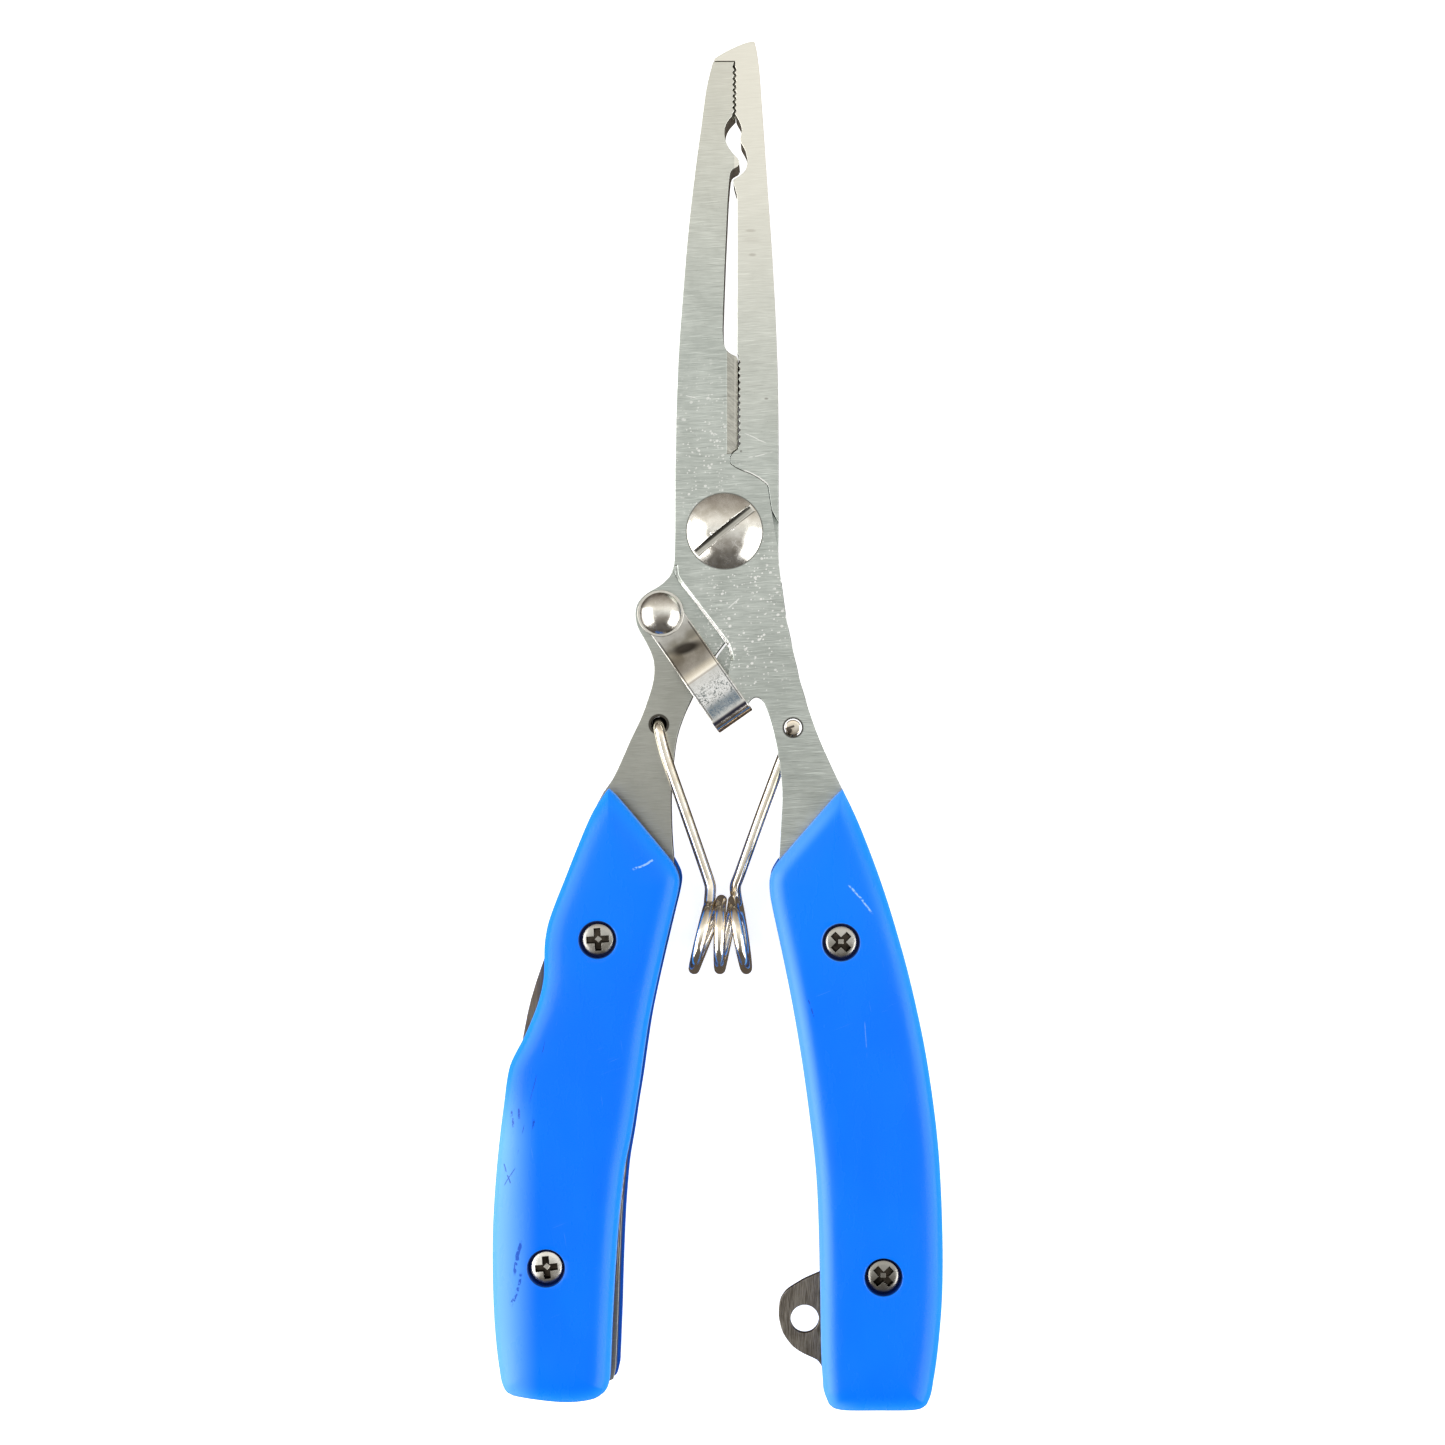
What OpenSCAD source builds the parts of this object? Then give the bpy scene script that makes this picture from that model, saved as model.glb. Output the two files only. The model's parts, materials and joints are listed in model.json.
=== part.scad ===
// Fishing pliers with a latch, a return spring and a folding knife in one handle.
// Flat in XY: jaws towards +Y, handles towards -Y, front face towards +Z, back of the grips on z = 0.
// Inside the modules x and y are measured from the pivot, and z from the plane where the levers meet.

/* [Levers] */
// Thickness of the jaws
jaw_t = 5; // [4.6:0.1:5.2]
// Radius of the lap round the pivot
lap_r = 9.9; // [9.8:0.05:9.95]
// Clearance between the two lap faces
lap_gap = 0.04; // [0.02:0.01:0.1]
// Gripping teeth on each jaw tip
teeth = 8; // [6:1:9]
// Depth of a gripping tooth
tooth_depth = 0.3; // [0.1:0.05:0.35]
// Serrations along the line cutter
serrations = 13; // [8:1:16]

/* [Pivot] */
// Diameter of the pivot screw's shank
pivot_d = 6; // [5:0.5:6.5]
// Diameter of the pivot screw's domed head
pivot_head_d = 12; // [11:0.5:12.5]
// Height of the domed head
pivot_head_h = 2; // [1.6:0.1:2.4]
// Turn of the screwdriver slot from +X
slot_turn = 39; // [0:1:180]

/* [Latch] */
// Width of the latch strip
latch_w = 6.4; // [5.6:0.2:6.6]
// Thickness of the latch strip
latch_t = 0.8; // [0.6:0.1:1]
// Distance from the rivet to the inner face of the tab
latch_reach = 20.1; // [20.1:0.1:20.6]

/* [Spring] */
// Diameter of the spring wire
wire_d = 1.8; // [1.4:0.1:1.8]
// Outer diameter of the coil
coil_d = 12.6; // [11:0.2:12.8]

/* [Handles] */
// Half of the handle's thickness
handle_h = 7; // [6.4:0.1:7.4]
// Width of the rounded border of a grip scale
edge_round = 2.6; // [1.6:0.2:3]
// Diameter of the handle screw heads
screw_head_d = 5; // [4.4:0.1:5.2]
// Diameter of the hole for a lanyard
lanyard_d = 4.5; // [3:0.1:4.6]

/* [Knife] */
// Thickness of the knife blade
blade_t = 1.98; // [1.5:0.02:1.98]
// Thickness of the steel liner in front of the blade
liner_t = 0.8; // [0.6:0.1:1]

/* [Hidden] */
$fn = 48;

// Where the pivot stands above the base, so that the origin is under the middle of the whole tool
pivot_at = [1.1, 30.5, handle_h];
half_t = jaw_t / 2;
fit = 0.05;

rivet_at = [-10.2, -12.9];
latch_turn = -55;
hook_left = [-10.55, -30.5];
hook_right = [10.8, -31];
coil_at = [-0.2, -63.9];
left_upper = [-19.6, -64];
left_lower = [-27.6, -115.1];
right_upper = [18.3, -64.4];
right_lower = [24.9, -116.5];
lanyard_at = [12.65, -125.1];
stop_pin_at = [-20.4, -121.7];

steel = [0.74, 0.76, 0.74];
nickel = [0.85, 0.84, 0.8];
blue = [0.06, 0.45, 0.98];

// ---- Curves -------------------------------------------------------------------------------------

function at(p, i) = p[max(0, min(len(p) - 1, i))];

// One point of the smooth curve that passes through b and c, with a and d as its neighbours
function between(a, b, c, d, t) =
  0.5 * (2 * b + (c - a) * t + (2 * a - 5 * b + 4 * c - d) * t * t + (3 * b - a - 3 * c + d) * t * t * t);

// Smooth curve through the points p, with n steps from each to the next
function curve(p, n = 3) = concat(
  [for (i = [0 : len(p) - 2]) for (k = [0 : n - 1])
    between(at(p, i - 1), p[i], p[i + 1], at(p, i + 2), k / n)],
  [p[len(p) - 1]]);

function arc(r, from, to, n = 12) =
  [for (k = [0 : n]) r * [cos(from + (to - from) * k / n), sin(from + (to - from) * k / n)]];

function backwards(p) = [for (i = [len(p) - 1 : -1 : 0]) p[i]];

// Zigzag up the line x, from y0 to y1, whose tips stand proud by depth towards +X
function zigzag(x, y0, y1, n, depth) =
  [for (i = [0 : 2 * n]) [x + (i % 2 == 0 ? 0 : depth), y0 + (y1 - y0) * i / (2 * n)]];

// ---- Lever outlines -----------------------------------------------------------------------------

left_jaw_outer = curve([[-1.8, 74.05], [-2.1, 73], [-2.9, 69.6], [-3.7, 63.5], [-4.6, 57], [-5.7, 47.4],
  [-6.5, 38], [-7.2, 28.5], [-7.6, 19], [-7.8, 9.6]]);
right_jaw_outer = curve([[4.7, 77.3], [5, 76.3], [5.3, 74.5], [5.6, 71.8], [6, 66], [6.6, 58],
  [7.2, 49], [7.7, 41], [8.1, 33], [8.4, 24], [8.5, 14]]);

// Inner edge of each jaw from the cutter up to the tip: the cutter, the relief, the pocket, the teeth.
// The teeth and the serrations are cut in the front half of a jaw only.
function left_jaw_inner(front) = concat(
  [[2.1, 13.3], [2.1, 27.2]],
  curve([[1.8, 27.7], [0.7, 28.2], [0, 29.2], [-0.3, 31.5], [-0.2, 36], [0.1, 44], [0.5, 52.5]]),
  curve([[0.7, 55], [1, 56.8], [2, 57.5], [2.3, 58.2], [2, 58.9], [1, 60], [0.2, 61.5], [0, 63.2],
    [0.4, 64.5], [1.2, 65.5]]),
  front ? zigzag(1.25, 65.9, 73.3, teeth, tooth_depth) : [[1.6, 65.9], [1.6, 73.3]],
  [[1.5, 74.05]]);
function right_jaw_inner(front) = concat(
  front ? zigzag(2.2, 13.3, 27.2, serrations, 0.25) : [[2.2, 13.3], [2.2, 27.2]],
  [[2.2, 27.8], [2, 28], [2, 52]],
  curve([[1.9, 53.2], [1.5, 54.6], [1.4, 55.4], [2.4, 56.1], [3.3, 57], [3.6, 58.4], [3.3, 60],
    [2.5, 61.5], [2.6, 62.5], [2.7, 63.5], [2.4, 64.5], [1.9, 65.4]]),
  front ? zigzag(1.65, 65.9, 73.3, teeth, 0.8 * tooth_depth) : [[1.7, 65.9], [1.7, 73.3]],
  [[1.7, 74.15], [-1.5, 74.15]],
  curve([[-1.7, 74.5], [-0.1, 75.5], [1.7, 76.4], [3.5, 77.1], [4.7, 77.3]]));

// The front half of the front lever, with the lap and the neck of its tang
front_lever_outline = concat(
  left_jaw_outer,
  curve([[-7.8, 0], [-7.9, -5], [-7.8, -6.8], [-7.2, -8]]),
  curve([[-0.2, -17.1], [0.6, -18.5], [1, -20.3], [0.6, -22.4], [0.5, -24.4], [1.2, -26.2], [2.5, -27.2],
    [3.5, -27.3], [4.1, -26.6], [5, -26.2], [6.1, -26.9], [7.3, -30], [8.4, -34.8], [9.1, -41],
    [8.9, -46.3], [8.6, -52]]),
  [[8.6, -57.5], [24.8, -57.5]],
  curve([[22.8, -51.8], [19.5, -42.8], [17.1, -37.6], [15, -32.9], [13.3, -28.2], [11.9, -23.5],
    [10.8, -18.7], [9.8, -14], [9.1, -9.3], [8.6, -5], [8.5, -3.3]]),
  arc(lap_r, 47, 73),
  curve([[1.9, 9.95], [1.1, 10.5], [0.85, 10.9], [0.9, 11.7], [1.2, 12.4], [2, 13]]),
  left_jaw_inner(true));

// The rear half of the front lever stops round the other lever's lap
front_lever_rear_jaw = concat(
  left_jaw_outer, [[-7.8, 1.7], [-7.2, 3.3], [-6.8, 7.1]],
  arc(lap_r + fit, 132, 86), [[0.75, 10.9], [0.8, 11.7], [1.1, 12.4], [2, 13]],
  left_jaw_inner(false));

// Full-thickness heel of the front lever, which the rear lever's straight edge closes against
front_lever_heel = concat(
  [[9, -7.9], [8.2, -8], [7.6, -8.2], [-1.1, -19.5], [-1.5, -20.4]],
  curve([[-1, -22.3], [0.4, -24.9], [1.2, -26.2], [2.5, -27.2], [3.5, -27.3], [4.1, -26.6], [5, -26.2],
    [6.1, -26.9], [6.5, -27.9]]),
  [[13.2, -27.9]],
  curve([[11.9, -23.5], [10.8, -18.7], [9.8, -14]]));

rear_lever_outline = concat(
  right_jaw_outer,
  curve([[8.5, 0], [8.4, -5], [8.3, -6.3], [7.7, -7.5]]),
  curve([[-1.4, -19.2], [-2.4, -20.8], [-4, -23.8], [-5.4, -26.6], [-6.6, -29.2], [-7.7, -32.6],
    [-8.3, -37], [-8.6, -41.8], [-8.5, -47.6], [-8.2, -52]]),
  [[-8.2, -57.5], [-25.7, -57.5]],
  curve([[-23.8, -51.8], [-20.3, -43], [-17.9, -39.2], [-16.4, -36.1], [-15, -32.9], [-13.5, -29.8],
    [-12.3, -26.6], [-11.4, -23.4], [-11.4, -20.3], [-12.6, -17.4], [-13.9, -15.1], [-14.3, -13],
    [-13.9, -11.2], [-12.5, -9.7], [-10.2, -8.3], [-8.5, -6.4], [-7.9, -3.2]]),
  arc(lap_r, 133, 83),
  [[2.1, 11.2]],
  right_jaw_inner(false));

rear_lever_front_jaw = concat(
  right_jaw_outer, [[8.5, 1.4], [7.5, 3.3], [6.9, 7.1]],
  arc(lap_r + fit, 46, 72),
  curve([[1.94, 10], [1.16, 10.54], [0.92, 10.93], [0.98, 11.65], [1.3, 12.3], [2.15, 12.95]]),
  right_jaw_inner(true));

// ---- Handle outlines, from the tip down the outer side, across the end and up the inner side -------
// The outer and inner sides have the same number of points, so that rungs can join them in pairs

left_handle_outline = concat(
  curve([[-18.3, -40.7], [-20.5, -44], [-22.6, -48.7], [-25.1, -55], [-27.5, -61.3], [-28.2, -65.5],
    [-28.3, -70], [-29.3, -74.5], [-31.5, -79.8], [-33.6, -84], [-34.5, -89.6], [-35.6, -99.1],
    [-36.3, -110], [-36.2, -121], [-35.6, -129], [-34.9, -133.6]], 2),
  curve([[-34.4, -134.8], [-33.2, -135.7], [-28.6, -136.5], [-24, -136.8], [-20.2, -136.2],
    [-18.3, -134.8]], 2),
  curve([[-17.9, -133], [-17.75, -130], [-17.6, -126], [-17.3, -120], [-16.9, -113.5], [-16.4, -107],
    [-15.8, -101.5]], 2),
  [[-15.5, -99.5], [-15.2, -98], [-14.9, -96.5]],
  curve([[-14.6, -95], [-13.2, -86.5], [-11.8, -77], [-9.8, -67.6], [-8, -60], [-7.1, -56],
    [-7.2, -54], [-8.2, -52]], 2),
  [[-17.2, -41.3]]);

right_handle_outline = concat(
  curve([[18.7, -40.9], [20.9, -45.5], [23.4, -51.8], [25.6, -58.1], [27.5, -64.4], [29.2, -70.7],
    [31.3, -80.2], [32.8, -89.6], [33.8, -99.1], [34.3, -111], [34.2, -121], [33.4, -130],
    [32.5, -135.5]], 2),
  curve([[31.8, -137.2], [30.2, -138], [24, -138.1], [18, -138], [16.4, -137.1]], 2),
  curve([[15.6, -135], [15.3, -131], [15.15, -125], [15, -115], [14.5, -102], [13.5, -92.8], [12.2, -83.3],
    [10.6, -73.9], [8.9, -65.5], [7.5, -59], [7.1, -56], [7.3, -54], [8.3, -52.2]], 2),
  [[17.7, -41.4]]);

// Along the lower inner side of the left handle the tang and the back scale stand proud by up to d
function proud(p, d) = [for (q = p)
  q.x > -18.6 && q.y < -92 ? q + [d * min(1, (-92 - q.y) / 32), 0] : q];

// Middle line of a handle: side is -1 on the left and 1 on the right
function middle(y, side) = side < 0
  ? [-17 - 0.13 * (-54 - y) + 0.0004 * (y + 54) * (y + 54) - 0.5, y]
  : [15.8 + 0.165 * (-54 - y) - 0.0005 * (y + 54) * (y + 54), y];

// The outline drawn in by d, each point towards the handle's middle line
function drawn_in(p, d, side) = [for (q = p)
  let (m = middle(max(-131, min(-54, q.y)), side), v = m - q) q + v * d / norm(v)];

// ---- Shared shapes ------------------------------------------------------------------------------

module plate(points, z0, z1) {
  translate([0, 0, z0]) linear_extrude(z1 - z0) polygon(points);
}

module hole(at, r) {
  translate([at.x, at.y, -handle_h - 1]) cylinder(r = r, h = 2 * handle_h + 2);
}

module rod(at, r, z0, z1) {
  translate([at.x, at.y, z0]) cylinder(r = r, h = z1 - z0);
}

// Spherical cap of radius r and height h, with its flat side on z = 0
module dome(r, h) {
  ball_r = (r * r + h * h) / (2 * h);
  rotate_extrude() intersection() {
    translate([0, h - ball_r]) circle(ball_r, $fn = 120);
    square([r + 1, h + 1]);
  }
}

// Closed solid whose rings each have the same number of points; cap holds the faces of the first ring
module skin(rings, cap) {
  n = len(rings[0]);
  k = len(rings);
  polyhedron(
    points = [for (ring = rings) for (p = ring) p],
    faces = concat(
      cap,
      [for (j = [0 : k - 2]) for (i = [0 : n - 1]) let (a = j * n + i, b = j * n + (i + 1) % n)
        [a, a + n, b + n]],
      [for (j = [0 : k - 2]) for (i = [0 : n - 1]) let (a = j * n + i, b = j * n + (i + 1) % n)
        [a, b + n, b]],
      [for (face = cap) backwards([for (i = face) (k - 1) * n + i])]));
}

// ---- Levers -------------------------------------------------------------------------------------

bevel_top = 0.2;
cutter_from = 12.2;
cutter_to = 28.4;

// Ground face of the cutter on one side of the jaws: it falls from the face towards the cutting edge
module cutter_bevel(edge) {
  translate([0, cutter_to, 0]) rotate([90, 0, 0]) linear_extrude(cutter_to - cutter_from)
    polygon([[bevel_top, half_t], [bevel_top, half_t + 1], [edge + 1, half_t + 1], [edge + 1, half_t - 0.65],
      [edge, half_t - 0.65]]);
}

lap_edge = concat([[-7.9, -5.5], [-7.75, -7], [-7.2, -8]], [[-0.2, -17.1]],
  curve([[0.35, -17.9], [0.8, -19.2], [1, -20.3]], 2));

// Breaks the front edge that runs from a to b, on the side away from the pivot, w wide
module broken_edge(a, b, w) {
  length = norm(b - a);
  translate([a.x, a.y, half_t]) rotate([0, 0, atan2(b.y - a.y, b.x - a.x)]) rotate([45, 0, 0])
    translate([-0.1, -w / sqrt(2), -w / sqrt(2)]) cube([length + 0.2, 2 * w, sqrt(2) * w]);
}

module jaw_lever_front() {
  color(steel) difference() {
    union() {
      plate(front_lever_outline, lap_gap / 2, half_t);
      plate(front_lever_rear_jaw, -half_t, lap_gap / 2);
      plate(front_lever_heel, -half_t, lap_gap / 2);
      plate(drawn_in(right_handle_outline, 0.4, 1), lap_gap / 2, half_t);
    }
    cutter_bevel(2.2);
    for (i = [1 : len(lap_edge) - 1]) broken_edge(lap_edge[i - 1], lap_edge[i], 0.5);
    hole([0, 0], pivot_d / 2 + 0.02);
    hole(hook_right, 1.4);
    hole(right_upper, 2.05);
    hole(right_lower, 2.05);
  }
}

module jaw_lever_rear() {
  color(steel) difference() {
    union() {
      plate(rear_lever_outline, -half_t, -lap_gap / 2);
      plate(rear_lever_front_jaw, -lap_gap / 2, half_t);
      plate(drawn_in(proud(left_handle_outline, 0.8), 0.3, -1), -half_t, -lap_gap / 2);
    }
    translate([4.45, 0, 0]) rotate([0, 180, 0]) cutter_bevel(2.2);
    hole([0, 0], pivot_d / 2 + fit);
    rod(rivet_at, 1.5, -handle_h, handle_h);
    hole(hook_left, 1.25);
    hole(left_upper, 2.05);
    hole(left_lower, 2.05);
  }
}

// ---- Pivot --------------------------------------------------------------------------------------

washer_t = 0.4;

module pivot_screw() {
  color(nickel) difference() {
    union() {
      translate([0, 0, half_t]) dome(pivot_head_d / 2, pivot_head_h);
      rod([0, 0], pivot_d / 2, -half_t - 1.8, half_t);
    }
    rotate([0, 0, slot_turn]) translate([-pivot_head_d, -0.6, half_t + 0.15])
      cube([2 * pivot_head_d, 1.2, 4]);
  }
}

module pivot_washer() {
  color(nickel) difference() {
    rod([0, 0], 5.9, -half_t - fit - washer_t, -half_t - fit);
    hole([0, 0], pivot_d / 2 + fit);
  }
}

module pivot_nut() {
  color(nickel) difference() {
    translate([0, 0, -half_t - fit - washer_t]) rotate([180, 0, 0]) union() {
      cylinder(r = 5.4, h = 0.8);
      translate([0, 0, 0.8]) dome(5.4, 1.3);
    }
    rod([0, 0], pivot_d / 2, -half_t - 1.8, 0);
    translate([-6, -0.6, -half_t - washer_t - 3.2]) cube([12, 1.2, 1.4]);
  }
}

// ---- Latch --------------------------------------------------------------------------------------

latch_low = 0.05;
latch_high = half_t + 0.12;
joggle_from = 5.8;
joggle_to = 12.2;
bend_r = 1.2;

// Height of the strip's underside, x along it: it climbs in a smooth S on to the other lever's face
function underside(x) = let (t = max(0, min(1, (x - joggle_from) / (joggle_to - joggle_from))))
  latch_low + (latch_high - latch_low) * t * t * (3 - 2 * t);

strip_x = concat([-6], [for (k = [0 : 12]) joggle_from + (joggle_to - joggle_from) * k / 12]);
bend_at = [latch_reach - bend_r, latch_high - bend_r];
strip_side = concat(
  [for (x = strip_x) [x, underside(x)]],
  [for (p = backwards(arc(bend_r, 0, 90, 6))) bend_at + p],
  [[latch_reach, 0.3], [latch_reach + latch_t, 0.3]],
  [for (p = arc(bend_r + latch_t, 0, 90, 8)) bend_at + p],
  [for (x = backwards(strip_x)) [x, underside(x) + latch_t]]);

module latch() {
  end = latch_reach + latch_t;
  color(nickel) translate([rivet_at.x, rivet_at.y, 0]) rotate([0, 0, latch_turn]) difference() {
    intersection() {
      rotate([90, 0, 0]) translate([0, 0, -latch_w / 2 - 1]) linear_extrude(latch_w + 2)
        polygon(strip_side);
      union() {
        cylinder(r = 3.5, h = 2 * handle_h);
        translate([0, -latch_w / 2, 0]) cube([end, latch_w, handle_h]);
      }
    }
    translate([0, 0, -1]) cylinder(r = 1.5 + fit, h = 4);
  }
}

latch_washer_z = latch_low + latch_t + 0.03;

module latch_washer() {
  color(nickel) difference() {
    rod(rivet_at, 3.7, latch_washer_z, latch_washer_z + 0.3);
    hole(rivet_at, 1.5);
  }
}

module latch_rivet() {
  color(nickel) union() {
    rod(rivet_at, 1.5, -half_t, latch_washer_z + 0.3);
    translate([rivet_at.x, rivet_at.y, latch_washer_z + 0.3]) dome(3.35, 1.5);
    translate([rivet_at.x, rivet_at.y, -half_t]) rotate([180, 0, 0]) dome(2.8, 0.9);
  }
}

// ---- Spring -------------------------------------------------------------------------------------

turns = 3;
coil_r = (coil_d - wire_d) / 2;
entry = 25;
top_pitch = 1.88;
bottom_pitch = 4.25;
leg_z = wire_d / 2 + 0.1;

// A point on the coil: a degrees round the X axis from the top, by way of the front. The turns lie
// close together at the top and spread towards the bottom.
function coil_point(a) = let (
    low = (1 - cos(a)) / 2, pitch = top_pitch + (bottom_pitch - top_pitch) * low * low)
  [coil_at.x + 0.6 * cos(a) + (a / 360 - turns / 2) * pitch, coil_at.y + coil_r * cos(a), coil_r * sin(a)];

function coil(from, to) = let (n = 22) [for (i = [0 : n]) coil_point(from + (to - from) * i / n)];

// The two halves of the spring end just short of each other, halfway round the middle turn
half_way = 360 * turns / 2;

left_wire = concat(
  curve([[-10.55, -30.5, -2.2], [-10.55, -30.5, -0.5], [-10.5, -30.9, 0.5], [-10.25, -32, leg_z]], 2),
  [[-9.2, -36, leg_z], [-6, -45.2, leg_z], [-2.7, -54.8, leg_z]],
  [[-2.2, -56.5, 1.2], [-2.3, -57.7, 1.6]],
  coil(entry, half_way - 1.5), [coil_point(half_way - 0.5)]);
right_wire = concat(
  curve([[10.8, -31, 2.4], [10.8, -31, 0.7], [10.7, -31.4, -0.5], [10.4, -32.4, -leg_z]], 2),
  [[8.6, -37.1, -leg_z], [5.7, -44.9, -leg_z], [2.6, -53.6, -leg_z]],
  [[1.5, -56.4, -1.1], [2.4, -57.6, -1.8]],
  backwards(concat([coil_point(half_way + 0.5)], coil(half_way + 1.5, 2 * half_way - entry))));

function unit(v) = v / norm(v);
function tangents(p) = [for (i = [0 : len(p) - 1]) unit(at(p, i + 1) - at(p, i - 1))];

// A side direction at each point, carried along the wire without twist
function sides(t, n, i = 0) = i == len(t) ? [] :
  let (s = unit(n - (n * t[i]) * t[i])) concat([s], sides(t, s, i + 1));

module wire(path, corners = 8) {
  t = tangents(path);
  s = sides(t, [1, 0, 0]);
  skin([for (i = [0 : len(path) - 1]) [for (k = [0 : corners - 1])
    let (a = 360 * k / corners) path[i] + wire_d / 2 * (cos(a) * s[i] + sin(a) * cross(t[i], s[i]))]],
    [[for (k = [0 : corners - 1]) k]]);
}

module spring_left_half() {
  color(nickel) wire(left_wire);
}

module spring_right_half() {
  color(nickel) wire(right_wire);
}

// ---- Grip scales --------------------------------------------------------------------------------

wall_top = 0.58;
border_steps = 4;

// Faces that fill an outline with rungs from its outer to its inner side, then its two ends
function rungs(sides_n, end_n, tip_n) = let (last = 2 * sides_n + end_n - 1) concat(
  [for (k = [0 : sides_n - 2]) [k, k + 1, last - k - 1, last - k]],
  [[for (i = [sides_n - 1 : sides_n + end_n]) i]],
  [concat([for (i = [last : last + tip_n]) i], [0])]);

// One scale: an upright wall, then a rounded border up to the flat face. The back scales are mirrored.
module scale_body(outline, side, z0) {
  wall_z = handle_h * wall_top;
  sides_n = side < 0 ? 31 : 25;
  end_n = side < 0 ? 11 : 9;
  skin(concat(
    [[for (p = outline) [p.x, p.y, z0]]],
    [for (i = [0 : border_steps]) let (a = 90 * i / border_steps)
      [for (p = drawn_in(outline, edge_round * (1 - cos(a)), side))
        [p.x, p.y, wall_z + (handle_h - wall_z) * sin(a)]]]),
    rungs(sides_n, end_n, 1));
}

sink_floor = handle_h - 1.75;

module screw_holes(places, bore) {
  for (p = places) {
    rod(p, 2.05, 0, sink_floor - 0.8);
    rod(p, bore, 0, handle_h);
    rod(p, screw_head_d / 2 + 0.35, sink_floor, handle_h + 1);
  }
}

module grip_scale(outline, side, z0, places, bore = 1.3) {
  color(blue) difference() {
    scale_body(outline, side, z0);
    screw_holes(places, bore);
  }
}

liner_z = 2.3;

module left_front_scale() {
  grip_scale(left_handle_outline, -1, liner_z + liner_t, [left_upper, left_lower]);
}

module right_front_scale() {
  grip_scale(right_handle_outline, 1, half_t, [right_upper, right_lower]);
}

module left_rear_scale() {
  mirror([0, 0, 1]) grip_scale(proud(left_handle_outline, 0.9), -1, half_t, [left_upper, left_lower], 2.05);
}

module right_rear_scale() {
  mirror([0, 0, 1]) grip_scale(right_handle_outline, 1, half_t, [right_upper, right_lower], 2.05);
}

// ---- Lanyard plate ------------------------------------------------------------------------------

ear_outline = concat(
  [[17, -117.3]],
  curve([[15.1, -117.7], [12.8, -118.7], [11.4, -119.5], [10, -120.4], [9.2, -121.3], [8.7, -122.4],
    [8.5, -124.1], [8.7, -125.7], [9.2, -127.3], [10.2, -128.8], [11.2, -129.8], [12.7, -130.7],
    [14.6, -131.6], [15.4, -132.7]]),
  [[17, -134]]);
ear_t = 1.1;

module lanyard_plate() {
  color(steel) difference() {
    union() {
      intersection() {
        plate(drawn_in(right_handle_outline, 0.4, 1), -half_t, 0);
        translate([0, -157.6, -handle_h]) cube([100, 100, 2 * handle_h]);
      }
      plate(ear_outline, -ear_t, 0);
    }
    hole(lanyard_at, lanyard_d / 2);
    hole(right_upper, 2.05);
    hole(right_lower, 2.05);
  }
}

// ---- Knife --------------------------------------------------------------------------------------

blade_z = 0.15;
blade_outline = concat(
  curve([[-33.2, -114], [-33.5, -105], [-33.3, -95], [-32.6, -86], [-31.9, -80.2], [-30.6, -73.9],
    [-28.4, -67.1], [-27.7, -65.6]]),
  curve([[-26.6, -68.2], [-24.4, -74.5], [-22.8, -83], [-22.2, -93], [-22.2, -108.5]]),
  curve([[-23.8, -109.4], [-24.2, -111.5], [-23, -113.5]]),
  [for (k = [0 : 12]) let (a = 20 - 180 * k / 12) left_lower + 5.3 * [cos(a), sin(a)]]);

// Tilted tool that grinds one face of the blade towards its edge
module grind() {
  translate([-22.6, -110, blade_z + blade_t / 2]) rotate([0, 0, 3.5]) rotate([0, 10, 0])
    translate([-6, 0, 0.15]) cube([12, 50, 3]);
}

module knife_blade() {
  middle_z = blade_z + blade_t / 2;
  color([0.45, 0.46, 0.47]) difference() {
    plate(blade_outline, blade_z, blade_z + blade_t);
    grind();
    translate([0, 0, 2 * middle_z]) mirror([0, 0, 1]) grind();
    hole(left_lower, 2 + fit);
  }
}

module knife_liner() {
  color(steel) difference() {
    plate(drawn_in(left_handle_outline, 0.3, -1), liner_z, liner_z + liner_t);
    hole(left_upper, 2.05);
    hole(left_lower, 2.05);
  }
}

// Fills the gap between the tang and the liner round the top and along the inner side
spacer_outline = concat(
  curve([[-19, -44], [-22, -49.5], [-24.6, -56], [-26, -61.5]]),
  curve([[-22.5, -66.5], [-19, -72], [-16.6, -80], [-18, -90], [-19, -100], [-19.3, -110],
    [-19, -118.5]]),
  [[-17, -118.5]],
  curve([[-16.4, -107], [-15.2, -97], [-14, -87], [-12.5, -77.5], [-10.8, -68.5], [-9, -60.5],
    [-8.4, -55.5], [-9, -53]]),
  [[-17.4, -43]]);

module knife_spacer() {
  color(steel) difference() {
    plate(spacer_outline, 0, liner_z);
    hole(left_upper, 2.05);
  }
}

module knife_stop_pin() {
  color(nickel) rod(stop_pin_at, 1.2, 0, liner_z);
}

module knife_washers() {
  color([0.8, 0.65, 0.35]) for (z = [0, liner_z - 0.13]) difference() {
    rod(left_lower, 4, z, z + 0.13);
    hole(left_lower, 2 + fit);
  }
}

// ---- Handle screws and their sleeve nuts -----------------------------------------------------------

head_h = 1.3;

module cross_recess(turn) {
  for (a = [turn, turn + 90]) rotate([0, 0, a]) translate([-1.45, -0.35, head_h - 0.8]) cube([2.9, 0.7, 1]);
}

module handle_screw(place, turn) {
  color(nickel) translate([place.x, place.y, sink_floor]) difference() {
    union() {
      cylinder(r = screw_head_d / 2, h = 0.6);
      translate([0, 0, 0.6]) dome(screw_head_d / 2, head_h - 0.6);
      translate([0, 0, -8]) cylinder(r = 1.25, h = 8);
    }
    cross_recess(turn);
  }
}

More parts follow.
